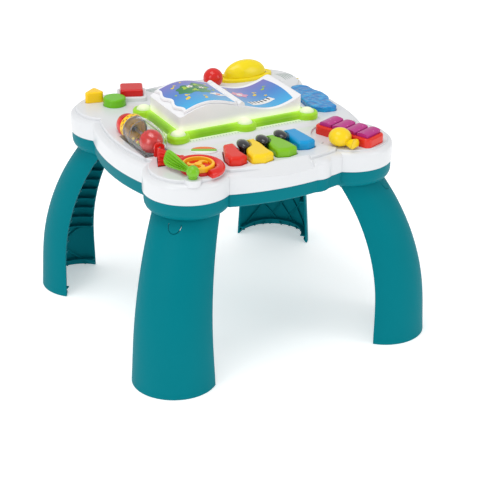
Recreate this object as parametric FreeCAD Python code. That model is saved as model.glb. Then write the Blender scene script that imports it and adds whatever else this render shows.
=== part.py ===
import FreeCAD, Part
import math
import os

# Musical activity table, in millimetres. The origin is on the floor under the middle of the tray,
# +Z is up and -Y is the piano side. A corner of the tray is called a lobe: the front lobe is at
# -X -Y, the right lobe at +X -Y, the left lobe at -X +Y and the back lobe at +X +Y.

# Tray outline, seen from above
lobe_offset = 122.4        # X and Y distance from the middle to a lobe's centre
lobe_radius = 59.3
side_setback = 38.4        # how far a side's chord stops short of the lobe centre, along the side
side_outset = 46.1         # how far a side's chord lies outside the lobe centre line
side_bulge = 12.0          # height of a side's arc over its chord
column_radius = 24.0       # rounded corner beside a side's arc, one at the front, one at the back
column_x = 49.5
column_inset = 13.5        # from a side's chord to the column's centre

# Levels
seam_z = 254.0             # joint between the lower and the upper housing
skirt_height = 27.0
deck_step = 4.5
island_step = 3.5
band_height = 20.0
wall = 2.5
rim_round = 7.0
step_inset = 10.0          # from the tray outline to the step up to the deck
low_step = 2.0             # step up to the right lobe's lower deck
low_deck_radius = 52.3
apron_depth = 19.0         # sloped strip in front of the piano keys
apron_drop = 8.0
apron_end = 36.0

# Legs
leg_wall = 3.0
leg_top_radius = 45.5
leg_foot_radius = 57.7
leg_bend_radius = 302.0    # outward curve of the upper leg
leg_straight = 50.0        # upright stretch above the floor
leg_rib_count = 10
leg_rib_pitch = 16.0
leg_rib_depth = 8.0
leg_rib_wall = 1.6
first_ledge_z = 68.0
foot_rib_z = 10.0
foot_rib_angles = [-74.0, -44.0, -15.0, 20.0, 48.0, 74.0]
brace_depth = 2.4
brace_angle = 36.0
brace_places = [-28.0, 0.0, 28.0]
spigot_height = 17.0
spigot_wall = 2.4
socket_depth = 25.0        # from the seam down to the underside of a leg socket
socket_gap = 0.3
snap_radius = 9.0
snap_groove = 0.8
snap_drop = 8.0            # from the socket down to the middle of the snap tab

# Running clearances and snap ends
barb_reach = 1.6
dome_root = 0.6            # how far a dome reaches into its base
slide_gap = 0.5
rest_gap = 0.3
pin_gap = 0.05

# Piano
key_height = 11.5
key_skirt = 8.5            # part of a key below the deck surface
key_wall = 2.0
key_round = 4.5
key_gap = 1.2
black_gap = 2.7            # between a black key and the coloured keys round it
black_height = 15.5
black_half_width = 8.3
black_half_length = 13.5
black_dome = 5.8
black_neck = 2.2           # how much slimmer a black key is below its pebble
key_rod_radius = 1.5
key_rod_y = 84.0           # from the lobe centre line back to the rod, measured below
key_tilt = 2.5             # degrees of travel

# Roller
roller_radius = 20.5
roller_outset = 18.6       # from the lobe centre line out to the roller's axis
roller_rise = 11.5         # axis above the deck
roller_near_y = -73.5
roller_far_y = 10.0
roller_band = 10.0
roller_wall = 2.0
roller_axle_radius = 2.0
trough_gap = 2.0
bearing_length = 4.5
cap_radius = 16.5
cap_length = 22.0

# Light ring and book
ring_half_x = 103.0
ring_half_y = 60.0
ring_corner = 20.0
ring_height = 9.0
ring_centre_y = 9.0
light_radius = 11.0
light_height = 8.0
light_reach_x = 99.0
light_reach_y = 55.5
light_middle_x = 2.0
light_seat = 4.5           # ledge round a lamp dome
book_half_x = 94.0
book_half_y = 50.0
book_centre_y = 8.0
book_corner = 6.0
book_rise = 23.0           # hinge axis above the top of the light ring
page_thickness = 3.0
page_gap = 0.5
page_reach = 90.0
page_swell = 11.0
curve_steps = 15
barrel_radius = 4.5
saddle_drop = 3.6          # how far the spine's trough stays under the page pin
page_pin_radius = 1.5
post_length = 10.0

# Buttons on the left lobe
button_flange = 1.5
button_flange_height = 2.2
button_travel = 3.0
flange_gap = 0.8
round_button_radius = 16.0
round_button_height = 11.5
triangle_height = 15.5
square_side = 32.5
square_height = 9.5
square_pad_height = 6.5
stem_radius = 3.0

# Horn, disc and lever on the front lobe
disc_radius = 21.5
disc_height = 6.5
coil_radius = 28.5
coil_tube = 6.5
bell_radius = 15.0
ball_radius = 8.4
lever_length = 58.0
boss_radius = 11.0

# Ridged pads and knob on the right lobe
frame_length = 92.0
frame_width = 39.0
frame_height = 12.5
pad_count = 4
pad_length = 31.0
pad_pitch = 20.5
pad_gap = 1.6
pad_rise = 5.0
pad_travel = 1.5
knob_radius = 15.5
knob_flatten = 0.82

# Drum, ball knob and panel at the back
drum_half_x = 44.0
drum_half_y = 21.0
drum_dome_x = 34.0
drum_dome_y = 17.0
drum_brim = 5.0
drum_height = 27.0
drum_travel = 2.5
red_ball_radius = 14.5
panel_height = 7.0
panel_travel = 2.0
panel_flange = 1.2

# Inside
board_thickness = 1.6
board_z = 262.0
contact_radius = 4.5
contact_height = 3.0
cell_radius = 7.1
cell_length = 50.0
speaker_radius = 28.5
screw_radius = 1.45
screw_head_radius = 3.4
boss_wall = 3.0

rim_z = seam_z + skirt_height
deck_z = rim_z + deck_step
deck_under = deck_z - wall
island_z = deck_z + island_step
floor_z = seam_z - band_height
low_deck_z = rim_z + low_step
socket_z = seam_z - socket_depth
ring_z = island_z + ring_height
hinge_z = ring_z + book_rise
side_reach = lobe_offset + side_outset
side_half = lobe_offset - side_setback
side_peak = side_reach + side_bulge
front_lobe = (-lobe_offset, -lobe_offset)
right_lobe = (lobe_offset, -lobe_offset)
left_lobe = (-lobe_offset, lobe_offset)
back_lobe = (lobe_offset, lobe_offset)
lobes = [front_lobe, right_lobe, left_lobe, back_lobe]
columns = [(column_x, column_inset - side_reach), (-column_x, side_reach - column_inset)]

parts = {}


def at(x, y, z=0.0):
    return FreeCAD.Vector(x, y, z)


def near(place, dx, dy):
    """A point given by its distance from a lobe's centre."""
    return (place[0] + dx, place[1] + dy)


def fused(shapes):
    return shapes[0].multiFuse(shapes[1:]).removeSplitter()


def cut(shape, tools):
    return shape.cut(Part.makeCompound(tools)) if len(tools) == 1 else shape.cut(fused(tools))


def one_solid(shape):
    """The largest solid of a boolean's result, free of slivers."""
    return max(shape.Solids, key=lambda solid: solid.Volume)


def disc(place, radius, low, high):
    return Part.makeCylinder(radius, high - low, at(place[0], place[1], low))


def box(low, high):
    size = [high[i] - low[i] for i in range(3)]
    return Part.makeBox(size[0], size[1], size[2], at(*low))


def along_y(radius, x, z, low, high):
    return Part.makeCylinder(radius, high - low, at(x, low, z), at(0, 1, 0))


def along_x(radius, y, z, low, high):
    return Part.makeCylinder(radius, high - low, at(low, y, z), at(1, 0, 0))


def rounded_face(points, radius, z):
    """A flat polygon whose corners are arcs of the given radius."""
    edges = []
    starts = []
    ends = []
    count = len(points)
    for i in range(count):
        corner = at(points[i][0], points[i][1], z)
        back = (at(points[i - 1][0], points[i - 1][1], z) - corner).normalize()
        onward = (at(points[(i + 1) % count][0], points[(i + 1) % count][1], z) - corner).normalize()
        half = back.getAngle(onward) / 2
        middle = (back + onward).normalize()
        start = corner + back * (radius / math.tan(half))
        end = corner + onward * (radius / math.tan(half))
        peak = corner + middle * (radius / math.sin(half) - radius)
        starts.append(start)
        ends.append(end)
        edges.append(Part.Arc(start, peak, end).toShape())
    for i in range(count):
        following = starts[(i + 1) % count]
        if (following - ends[i]).Length > 1e-6:
            edges.append(Part.LineSegment(ends[i], following).toShape())
    return Part.Face(Part.Wire(Part.__sortEdges__(edges)))


def raised(face, height):
    return face.extrude(at(0, 0, height))


def grown(face, distance):
    return face if distance == 0 else face.makeOffset2D(distance)


def edges_at(shape, z):
    return [e for e in shape.Edges if abs(e.BoundBox.ZMin - z) < 1e-3 and abs(e.BoundBox.ZMax - z) < 1e-3]


def eased(shape, z, radius):
    """The shape with every edge that lies flat at this level rounded."""
    return shape.makeFillet(radius, edges_at(shape, z)) if radius > 0 else shape


def snap_stem(place, radius, under, top):
    """A stem through a hole, with a barbed end that stops it coming out again."""
    barb = Part.makeCone(radius - 0.8, radius + barb_reach, 2.4, at(place[0], place[1], under - rest_gap - 2.4))
    return fused([disc(place, radius, under - rest_gap - 1.0, top), barb])


def rectangle(centre, half_x, half_y, turn=0.0):
    angle = math.radians(turn)
    corners = []
    for sx, sy in [(-1, -1), (1, -1), (1, 1), (-1, 1)]:
        dx = sx * half_x * math.cos(angle) - sy * half_y * math.sin(angle)
        dy = sx * half_x * math.sin(angle) + sy * half_y * math.cos(angle)
        corners.append((centre[0] + dx, centre[1] + dy))
    return corners


def revolved_z(place, profile):
    """A solid turned about the upright line through the place, from (radius, z) points."""
    wire = Part.makePolygon([at(r, 0, z) for r, z in profile + profile[:1]])
    solid = Part.Face(wire).revolve(at(0, 0, 0), at(0, 0, 1), 360)
    solid.translate(at(place[0], place[1], 0))
    return solid


def ellipse_face(place, half_x, half_y, z):
    ellipse = Part.Ellipse(at(0, 0, z), max(half_x, half_y), min(half_x, half_y))
    face = Part.Face(Part.Wire([ellipse.toShape()]))
    if half_y > half_x:
        face.rotate(at(0, 0, z), at(0, 0, 1), 90)
    face.translate(at(place[0], place[1], 0))
    return face


def dome_solid(place, half_x, half_y, height, low):
    """Upper half of an egg shape, reaching slightly below the given level so that it joins a base."""
    ball = Part.makeSphere(1.0)
    stretch = FreeCAD.Matrix()
    stretch.scale(half_x, half_y, height)
    egg = ball.transformGeometry(stretch)
    egg.translate(at(place[0], place[1], low))
    keep = box((place[0] - 90, place[1] - 90, low - dome_root), (place[0] + 90, place[1] + 90, low + height + 5))
    return egg.common(keep)


def bowl_loft(place, half_x, half_y, low, height):
    """A dome over an oval, built up of level ovals, with a small flat on top."""
    wires = []
    for angle in [0, 15, 30, 45, 60, 72, 84]:
        share = math.cos(math.radians(angle))
        z = low + height * math.sin(math.radians(angle)) / math.sin(math.radians(84))
        wires.append(ellipse_face(place, half_x * share, half_y * share, z).OuterWire)
    return Part.makeLoft(wires, True, False)


# Housings

def side_face(inset, z):
    """The four-sided middle of the tray, each side an arc, drawn in by the inset."""
    edges = []
    for turn in range(4):
        angle = math.radians(90 * turn)
        ends = [(-side_half, -side_reach), (0.0, -side_peak), (side_half, -side_reach)]
        turned = [at(x * math.cos(angle) - y * math.sin(angle), x * math.sin(angle) + y * math.cos(angle), z)
                  for x, y in ends]
        edges.append(Part.Arc(*turned).toShape())
        last = turned[2]
        corner = at(side_half * math.cos(angle + math.pi / 2) * -1 + side_reach * math.sin(angle + math.pi / 2),
                    side_half * math.sin(angle + math.pi / 2) * -1 - side_reach * math.cos(angle + math.pi / 2), z)
        edges.append(Part.LineSegment(last, corner).toShape())
    return grown(Part.Face(Part.Wire(edges)), -inset)


def apron_wedge(shift):
    """The space above the sloped strip in front of the keys; shift moves it inwards and down."""
    slope = (deck_z - rim_z + apron_drop) / (apron_depth - 1.5)
    outer_y = -side_peak - 20
    inner_y = -side_peak + apron_depth
    outer_z = deck_z - slope * (inner_y - outer_y)
    corners = [(outer_y, outer_z), (inner_y, deck_z), (inner_y, deck_z + 20), (outer_y, deck_z + 20)]
    wire = Part.makePolygon([at(-side_half - 10, y + shift * 0.6, z - shift) for y, z in corners + corners[:1]])
    return Part.Face(wire).extrude(at(apron_end + side_half + 10 + shift, 0, 0))


def tray_body(inset, low, high, edge_round, shift=0.0):
    """Middle, lobes and columns of the tray between two levels, with a rounded upper edge."""
    middle = eased(raised(side_face(inset, low), high - low), high, edge_round)
    bodies = [middle.cut(apron_wedge(shift))]
    for place in lobes:
        bodies.append(eased(disc(place, lobe_radius - inset, low, high), high, edge_round))
    for place in columns:
        bodies.append(eased(disc(place, column_radius - inset, low, high), high, edge_round))
    return bodies


def deck_body(inset, low, high, edge_round, shift=0.0):
    middle = eased(raised(side_face(step_inset + inset, low), high - low), high, edge_round)
    bodies = [middle.cut(apron_wedge(shift))]
    for place in [front_lobe, left_lobe, back_lobe]:
        bodies.append(eased(disc(place, lobe_radius - step_inset + 1.5 - inset, low, high), high, edge_round))
    return bodies


def island_body(inset, low, high):
    """The raised middle of the deck, with sloped sides."""
    base = rounded_face(rectangle((0, ring_centre_y), ring_half_x + 17 - inset, ring_half_y + 24 - inset), 34, low)
    top = rounded_face(rectangle((0, ring_centre_y), ring_half_x + 12 - inset, ring_half_y + 12.5 - inset), 30, high)
    return Part.makeLoft([base.OuterWire, top.OuterWire], True, True)


# Piano keys: front middle, back middle and half widths, from the middle of the front side
key_shapes = {
    "red_key": ((-61.5, 27.0), (-52.5, 78.0), 13.0, 8.0),
    "yellow_key": ((-28.5, 21.0), (-19.0, 80.0), 16.0, 8.5),
    "green_key": ((9.5, 25.5), (9.0, 81.0), 15.5, 8.5),
    "blue_key": ((45.0, 36.0), (43.5, 88.0), 13.5, 11.0),
}
black_shapes = {
    "left_black_key": (-35.5, 68.5, -10.0),
    "middle_black_key": (-5.0, 71.5, -6.0),
    "right_black_key": (25.0, 76.0, -2.0),
}
rod_y = key_rod_y + 12.5 - side_peak
rod_z = deck_under - 3.2
key_low = deck_z - key_skirt


def key_outline(name, spread, z):
    front, back, front_half, back_half = key_shapes[name]
    front_y = front[1] - side_peak
    back_y = back[1] - side_peak
    points = [(front[0] - front_half, front_y + 3), (front[0], front_y - 1.5),
              (front[0] + front_half, front_y + 3),
              (front[0] + front_half - 1, front_y + 20), (back[0] + back_half, back_y),
              (back[0] - back_half, back_y), (front[0] - front_half + 1, front_y + 20)]
    return grown(rounded_face(points, 4.0, z), spread)


def black_outline(name, spread, z):
    x, y, turn = black_shapes[name]
    ellipse = Part.Ellipse(at(0, 0, z), black_half_length + spread, black_half_width + spread)
    face = Part.Face(Part.Wire([ellipse.toShape()]))
    face.rotate(at(0, 0, z), at(0, 0, 1), 90 + turn)
    face.translate(at(x, y - side_peak, 0))
    return face


def black_room(spread):
    return [raised(black_outline(name, spread, key_low - 20), 80) for name in black_shapes]


def key_arm(x, back_y, width):
    """The arm that runs back under the deck to the pivot rod."""
    arm = box((x - width / 2, back_y - 4, key_low + 0.8), (x + width / 2, rod_y + 4, deck_under - 0.9))
    return arm


def coloured_key(name):
    front, back, front_half, back_half = key_shapes[name]
    top = deck_z + key_height
    outer = eased(raised(key_outline(name, 0, key_low), top - key_low), top, key_round)
    hollow = raised(key_outline(name, -key_wall, key_low - 1), top - key_wall - key_low + 1)
    outer = cut(outer, black_room(black_gap))
    hollow = cut(hollow, black_room(black_gap + key_wall))
    plunger_y = front[1] - side_peak + 22
    plunger = disc((front[0], plunger_y), stem_radius, key_low - 3.4, top - key_wall / 2)
    shell = outer.cut(hollow)
    body = fused([shell, key_arm(back[0], back[1] - side_peak, 8.0), plunger])
    return one_solid(body.cut(along_x(key_rod_radius + pin_gap, rod_y, rod_z, -100, 100)))


def pebble(name, inset, low, high):
    """Upright oval with a domed top, for a black key."""
    x, y, turn = black_shapes[name]
    half_x = black_half_width - inset
    half_y = black_half_length - inset
    waist = high - black_dome
    dome = dome_solid((0, 0), half_x, half_y, black_dome, waist)
    belly = dome_solid((0, 0), half_x, half_y, black_dome, -waist).mirror(at(0, 0, 0), at(0, 0, 1))
    trunk = raised(ellipse_face((0, 0), half_x - black_neck, half_y - black_neck, low), waist - low)
    solid = fused([dome, belly, trunk])
    solid.rotate(at(0, 0, 0), at(0, 0, 1), turn)
    solid.translate(at(x, y - side_peak, 0))
    return solid


def black_key(name):
    x, y, turn = black_shapes[name]
    top = deck_z + black_height
    shell = pebble(name, 0, key_low, top).cut(pebble(name, key_wall, key_low - 1, top - key_wall))
    plunger = disc((x, y - side_peak - 4), stem_radius, key_low - 3.4, top - key_wall)
    body = fused([shell, key_arm(x, y - side_peak + 8, 6.0), plunger])
    return one_solid(body.cut(along_x(key_rod_radius + pin_gap, rod_y, rod_z, -100, 100)))


# Roller, turned about an axis along Y

roller_x = -(lobe_offset + roller_outset)
roller_z = deck_z + roller_rise


def turned_y(profile):
    """A solid of revolution about the roller's axis, from (y, radius) points joined by a smooth curve."""
    curve = Part.BSplineCurve()
    curve.interpolate([at(roller_x, y, roller_z + r) for y, r in profile])
    first = profile[0]
    last = profile[-1]
    axis_first = at(roller_x, first[0], roller_z)
    axis_last = at(roller_x, last[0], roller_z)
    edges = [Part.LineSegment(axis_first, at(roller_x, first[0], roller_z + first[1])).toShape(), curve.toShape(),
             Part.LineSegment(at(roller_x, last[0], roller_z + last[1]), axis_last).toShape(),
             Part.LineSegment(axis_last, axis_first).toShape()]
    return Part.Face(Part.Wire(edges)).revolve(axis_first, at(0, 1, 0), 360)


drum_low = roller_near_y
drum_high = roller_far_y - roller_band


def drum_profile(inset):
    span = drum_high - drum_low
    stations = [(0.0, 0.42), (0.07, 0.72), (0.2, 0.93), (0.38, 1.0), (0.65, 1.0), (0.88, 0.95), (1.0, 0.88)]
    points = []
    for share, size in stations:
        y = drum_low + inset + share * (span - 2 * inset)
        points.append((y, roller_radius * size - inset))
    return points


def build_roller():
    axle = along_y(roller_axle_radius, roller_x, roller_z, roller_near_y - bearing_length, roller_far_y + 14)
    bore = along_y(roller_axle_radius, roller_x, roller_z, roller_near_y - 20, roller_far_y + 20)
    shell = turned_y(drum_profile(0)).cut(turned_y(drum_profile(roller_wall)))
    parts["roller_drum"] = one_solid(shell.cut(bore))
    band_radius = roller_radius * 0.88
    band = along_y(band_radius, roller_x, roller_z, drum_high, roller_far_y)
    hollow = along_y(band_radius - 2.5, roller_x, roller_z, drum_high - 1, roller_far_y - 2.5)
    hub = along_y(5.0, roller_x, roller_z, drum_high, roller_far_y)
    parts["roller_band"] = one_solid(fused([band.cut(hollow), hub]).cut(bore))
    inner = Part.makeSphere(16.0, at(roller_x, drum_low + 21, roller_z))
    parts["roller_inner_ball"] = one_solid(inner.cut(bore))
    parts["roller_axle"] = axle


def build_roller_ends():
    running = along_y(roller_axle_radius + pin_gap, roller_x, roller_z, roller_near_y - 20, roller_far_y + 16)
    low_y = roller_far_y + rest_gap * 2
    dome = dome_solid((0, 0), cap_radius, cap_length, cap_radius, 0)
    dome = dome.fuse(dome.mirror(at(0, 0, 0), at(0, 0, 1))).removeSplitter()
    dome.translate(at(roller_x, low_y + cap_length * 0.45, roller_z - 3))
    cap = dome.common(box((roller_x - 30, low_y, deck_z), (roller_x + 30, low_y + 60, roller_z + 40)))
    grooves = []
    for i in range(3):
        y = low_y + 7 + 5.0 * i
        shrink = math.sqrt(1 - ((y + 0.8 - low_y) / cap_length - 0.45) ** 2)
        ring = along_y(30, roller_x, roller_z - 3, y, y + 1.6)
        ring = ring.cut(along_y(cap_radius * shrink - 1.3, roller_x, roller_z - 3, y, y + 1.6))
        grooves.append(ring.common(box((roller_x - 11, y, roller_z + 2), (roller_x + 11, y + 2, roller_z + 20))))
    parts["roller_far_cap"] = one_solid(cut(cap, grooves).cut(running))
    near_y = roller_near_y - rest_gap * 2
    post = along_y(7.0, roller_x, roller_z, near_y - bearing_length, near_y)
    foot = box((roller_x - 7, near_y - bearing_length, deck_z), (roller_x + 7, near_y, roller_z))
    parts["roller_near_cap"] = one_solid(fused([post, foot]).cut(running))


def trough_solids():
    radius = roller_radius + trough_gap
    low_y = roller_near_y - 2
    high_y = roller_far_y + 2
    pan = along_y(radius + 2, roller_x, roller_z, low_y - 2, high_y + 2)
    pan = pan.common(box((roller_x - 50, low_y - 5, 0), (roller_x + 50, high_y + 5, deck_z - 0.5)))
    return pan, along_y(radius, roller_x, roller_z, low_y, high_y)


# Buttons on the left lobe

round_place = near(left_lobe, 6.0, 4.4)
triangle_points = [near(left_lobe, -34.0, 26.6), near(left_lobe, -1.6, 20.2), near(left_lobe, -8.0, 46.6)]
square_place = near(left_lobe, 40.3, 22.0)


def button_face(name, z):
    if name == "round_button":
        return Part.Face(Part.Wire([Part.makeCircle(round_button_radius, at(round_place[0], round_place[1], z))]))
    if name == "triangle_button":
        return rounded_face(triangle_points, 4.0, z)
    return rounded_face(rectangle(square_place, square_side / 2, square_side / 2, -22), 4.0, z)


def button_levels(name):
    """Surface that the button stands out of, and the button's top."""
    if name == "round_button":
        return deck_z, deck_z + round_button_height
    if name == "triangle_button":
        return deck_z, deck_z + triangle_height
    return deck_z + square_pad_height, deck_z + square_pad_height + square_height


def button_centre(name):
    return button_face(name, 0).CenterOfMass


def build_button(name):
    surface, top = button_levels(name)
    flange_top = surface - wall - rest_gap
    flange_low = flange_top - button_flange_height
    cap = eased(raised(button_face(name, flange_low), top - flange_low), top, 2.5)
    hollow = raised(grown(button_face(name, flange_low - 1), -key_wall), top - key_wall - flange_low + 1)
    flange = raised(grown(button_face(name, flange_low), button_flange), button_flange_height)
    for other in buttons[:buttons.index(name)]:
        flange = flange.cut(raised(grown(button_face(other, rim_z - 20), button_flange + flange_gap), 60))
    centre = button_centre(name)
    stem = disc((centre.x, centre.y), stem_radius, stem_low, top - key_wall / 2)
    parts[name] = one_solid(fused([cap.cut(hollow), flange.cut(hollow), stem]))


contact_top = board_z + board_thickness + contact_height
stem_low = contact_top + button_travel + rest_gap
buttons = ["round_button", "triangle_button", "square_button"]


# Right lobe: frame with ridged pads and a knob

frame_place = near(right_lobe, -2.5, -4.0)
frame_turn = -67.0
frame_top = low_deck_z + frame_height
pad_floor = low_deck_z + 4.5
pad_roof = low_deck_z + 7.0


def frame_point(along, across):
    angle = math.radians(frame_turn)
    return (frame_place[0] + along * math.cos(angle) - across * math.sin(angle),
            frame_place[1] + along * math.sin(angle) + across * math.cos(angle))


def pad_centre(index):
    return frame_point((index - (pad_count - 1) / 2) * pad_pitch, 1.0)


def pad_face(index, spread, z):
    half = (pad_pitch - pad_gap) / 2 + spread
    return rounded_face(rectangle(pad_centre(index), half, pad_length / 2 + spread, frame_turn), 2.0, z)


def build_pad(index):
    top = frame_top + pad_rise
    cap = raised(pad_face(index, 0, pad_floor), top - pad_floor)
    bow = 24.0
    centre = pad_centre(index)
    angle = math.radians(frame_turn + 90)
    start = at(centre[0] - 40 * math.cos(angle), centre[1] - 40 * math.sin(angle), top - bow)
    ridge = Part.makeCylinder(bow, 80, start, at(math.cos(angle), math.sin(angle), 0))
    cap = cap.common(fused([ridge, raised(pad_face(index, 5, pad_floor), top - pad_floor - 4)]))
    flange = raised(pad_face(index, 0.5, pad_floor), pad_roof - rest_gap - pad_floor)
    stem = disc(centre, stem_radius, pad_floor - 1.2, pad_floor + 2)
    parts["pad_%d" % (index + 1)] = one_solid(fused([cap, flange, stem]))


knob_place = frame_point(8.0, -(frame_width / 2 + knob_radius - 2.5))
knob_z = low_deck_z + knob_radius * knob_flatten - 0.7


def build_frame():
    points = rectangle(frame_place, frame_length / 2, frame_width / 2, frame_turn)
    body = eased(raised(rounded_face(points, 8.0, low_deck_z), frame_height), frame_top, 3.0)
    rooms = []
    for i in range(pad_count):
        rooms.append(raised(pad_face(i, slide_gap, pad_roof - 1), 40))
    inner = rectangle(frame_point(0, 1.0), pad_pitch * pad_count / 2 + 0.9, pad_length / 2 + 1.3, frame_turn)
    rooms.append(raised(rounded_face(inner, 3.0, low_deck_z - 1), pad_roof - low_deck_z + 1))
    rooms.append(disc(knob_place, knob_radius + 0.8, low_deck_z - 1, frame_top + 5))
    parts["pad_frame"] = one_solid(cut(body, rooms))
    strip = rectangle(frame_point(0, 1.0), pad_pitch * pad_count / 2 - 1, pad_length / 2 - 4, frame_turn)
    parts["pad_contact_strip"] = raised(rounded_face(strip, 2.0, low_deck_z), 1.2)


def build_knob():
    ball = Part.makeSphere(knob_radius, at(0, 0, 0))
    squash = FreeCAD.Matrix()
    squash.scale(1.0, 1.0, knob_flatten)
    ball = ball.transformGeometry(squash)
    ball.translate(at(knob_place[0], knob_place[1], knob_z))
    ball = ball.common(box((knob_place[0] - 30, knob_place[1] - 30, deck_z + rest_gap),
                           (knob_place[0] + 30, knob_place[1] + 30, knob_z + 30)))
    angle = math.radians(frame_turn)
    aim = at(math.cos(angle), math.sin(angle), 0)
    root = at(knob_place[0], knob_place[1], knob_z - 5) + aim * (knob_radius - 3)
    flare = Part.makeCone(4.5, 8.5, 13, root, aim)
    flare = flare.common(box((root.x - 40, root.y - 40, deck_z + rest_gap), (root.x + 40, root.y + 40, knob_z + 30)))
    stem = snap_stem(knob_place, 4.0, low_deck_z - wall, knob_z)
    collar = disc(knob_place, 6.0, low_deck_z + rest_gap, knob_z)
    parts["striker_knob"] = one_solid(fused([ball, flare, stem, collar]))


# Front lobe: horn with a spinning disc and a lever

disc_place = near(front_lobe, 5.9, -20.2)
disc_z = deck_z + 4.2
coil_z = deck_z + 3.0
lever_place = near(front_lobe, -14.6, -46.6)
boss_z = deck_z + 2.0
lever_z = deck_z + 11.0
bell_mouth = near(front_lobe, -29.5, 25.8)
bell_neck = near(front_lobe, -1.0, 14.0)


def ring_arc(radius, tube, z, start, end):
    """Part of a round-section ring about the disc's middle, with round ends."""
    ring = Part.makeTorus(radius, tube, at(disc_place[0], disc_place[1], z), at(0, 0, 1), -180, 180, end - start)
    ring.rotate(at(disc_place[0], disc_place[1], z), at(0, 0, 1), start)
    return ring


def build_horn():
    above = box((-300, -300, deck_z), (300, 300, deck_z + 60))
    coil = ring_arc(coil_radius, coil_tube, coil_z, -84, 128)
    plate = disc(disc_place, disc_radius + 1.5, deck_z, disc_z - rest_gap)
    mouth = at(bell_mouth[0], bell_mouth[1], deck_z + 3.0)
    neck = at(bell_neck[0], bell_neck[1], deck_z + 2.5)
    bell = Part.makeCone(5.5, bell_radius, (mouth - neck).Length, neck, mouth - neck)
    inside = Part.makeCone(2.0, bell_radius - 2.0, 14, mouth - (mouth - neck).normalize() * 12, mouth - neck)
    bell = bell.cut(inside)
    elbow = Part.makeSphere(6.5, neck)
    horn = fused([coil, plate, bell, elbow]).common(above)
    horn = horn.cut(disc(disc_place, disc_radius + slide_gap, disc_z - rest_gap, deck_z + 60))
    horn = horn.cut(disc(lever_place, boss_radius + 1.5, deck_z - 5, deck_z + 60))
    horn = horn.cut(disc(disc_place, stem_radius + pin_gap, deck_z - 5, deck_z + 60))
    parts["horn"] = one_solid(horn)


def build_disc():
    rim = disc(disc_place, disc_radius, disc_z, disc_z + disc_height)
    rim = eased(rim, disc_z + disc_height, 1.8)
    well = disc(disc_place, disc_radius - 3.6, disc_z + 2.0, disc_z + 30)
    stem = snap_stem(disc_place, stem_radius, deck_under, disc_z + 1)
    dish = fused([rim.cut(well), stem])
    parts["disc_rim"] = one_solid(dish)
    swirls = [disc(disc_place, 5.0, disc_z + 2.0, disc_z + 5.0)]
    for i in range(3):
        angle = math.radians(120 * i + 20)
        place = near(disc_place, 8.5 * math.cos(angle), 8.5 * math.sin(angle))
        swirl = disc(place, 6.5, disc_z + 2.0, disc_z + 4.4)
        swirls.append(swirl.cut(disc(near(place, 3.5 * math.sin(angle), -3.5 * math.cos(angle)), 4.6,
                                     disc_z, disc_z + 20)))
    parts["disc_swirl"] = one_solid(fused(swirls).common(disc(disc_place, disc_radius - 4.0, disc_z, disc_z + 20)))


def build_lever():
    ball = Part.makeSphere(ball_radius, at(lever_place[0], lever_place[1], lever_z))
    stem = snap_stem(lever_place, stem_radius, deck_under, lever_z)
    collar = disc(lever_place, 6.0, boss_z + rest_gap, lever_z - 2)
    aim = at(-0.22, 0.975, 0).normalize()
    across = at(0.975, 0.22, 0).normalize()
    sections = []
    stations = [(4.0, 3.4, 3.6, 0.0), (14.0, 3.2, 4.2, 0.2), (26.0, 3.0, 5.6, 0.6), (40.0, 2.8, 7.6, 1.2),
                (52.0, 2.4, 8.2, 2.0), (lever_length, 1.4, 5.0, 3.6)]
    for reach, half_thick, half_tall, lift in stations:
        centre = at(lever_place[0], lever_place[1], lever_z + lift) + aim * reach
        upright = (at(0, 0, 1) + across * 0.45).normalize()
        side = upright.cross(aim).normalize()
        major = centre + upright * half_tall
        minor = centre + side * half_thick
        ellipse = Part.Ellipse(major, minor, centre)
        sections.append(Part.Wire([ellipse.toShape()]))
    paddle = Part.makeLoft(sections, True, False)
    parts["lever"] = one_solid(fused([ball, stem, collar, paddle]))


# Back lobe: drum and ball knob; right side: panel

drum_place = near(back_lobe, -19.4, 24.6)
red_ball_place = (40.0, side_peak - 54.5)
panel_points = [(-27, 66), (-12, 66), (-4, 57), (-3, 38), (2, 24), (1, 4), (-6, -10), (-8, -38),
                (-28, -36), (-43, -22), (-38, 12), (-36, 40)]
panel_x = side_reach - 5.3


def panel_face(spread, z):
    return grown(rounded_face([(panel_x + x, y) for x, y in panel_points], 7.0, z), spread)


def build_drum():
    brim_top = deck_z + drum_brim
    brim = raised(ellipse_face(drum_place, drum_half_x, drum_half_y, deck_z), drum_brim)
    brim = eased(brim, brim_top, 2.0)
    opening = raised(ellipse_face(drum_place, drum_dome_x + slide_gap, drum_dome_y + slide_gap, 0), 400)
    recess = raised(ellipse_face(drum_place, drum_dome_x + 2.5, drum_dome_y + 2.5, deck_z - 5), drum_brim + 2.5)
    parts["drum_brim"] = one_solid(brim.cut(opening).cut(recess))
    low = deck_under - 1
    outer = bowl_loft(drum_place, drum_dome_x, drum_dome_y, brim_top, drum_height - drum_brim)
    inner = bowl_loft(drum_place, drum_dome_x - 2, drum_dome_y - 2, brim_top, drum_height - drum_brim - 2)
    skirt = raised(ellipse_face(drum_place, drum_dome_x, drum_dome_y, low), brim_top - low)
    room = raised(ellipse_face(drum_place, drum_dome_x - 2, drum_dome_y - 2, low - 1), brim_top - low + 1)
    flange = raised(ellipse_face(drum_place, drum_dome_x + 1.8, drum_dome_y + 1.8, deck_z + 0.2), 2.0)
    shell = fused([skirt, flange, outer]).cut(inner).cut(room)
    stem = disc(drum_place, stem_radius + 1, contact_top + drum_travel + rest_gap, deck_z + drum_height - 1)
    parts["drum_dome"] = one_solid(fused([shell, stem]))


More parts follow.
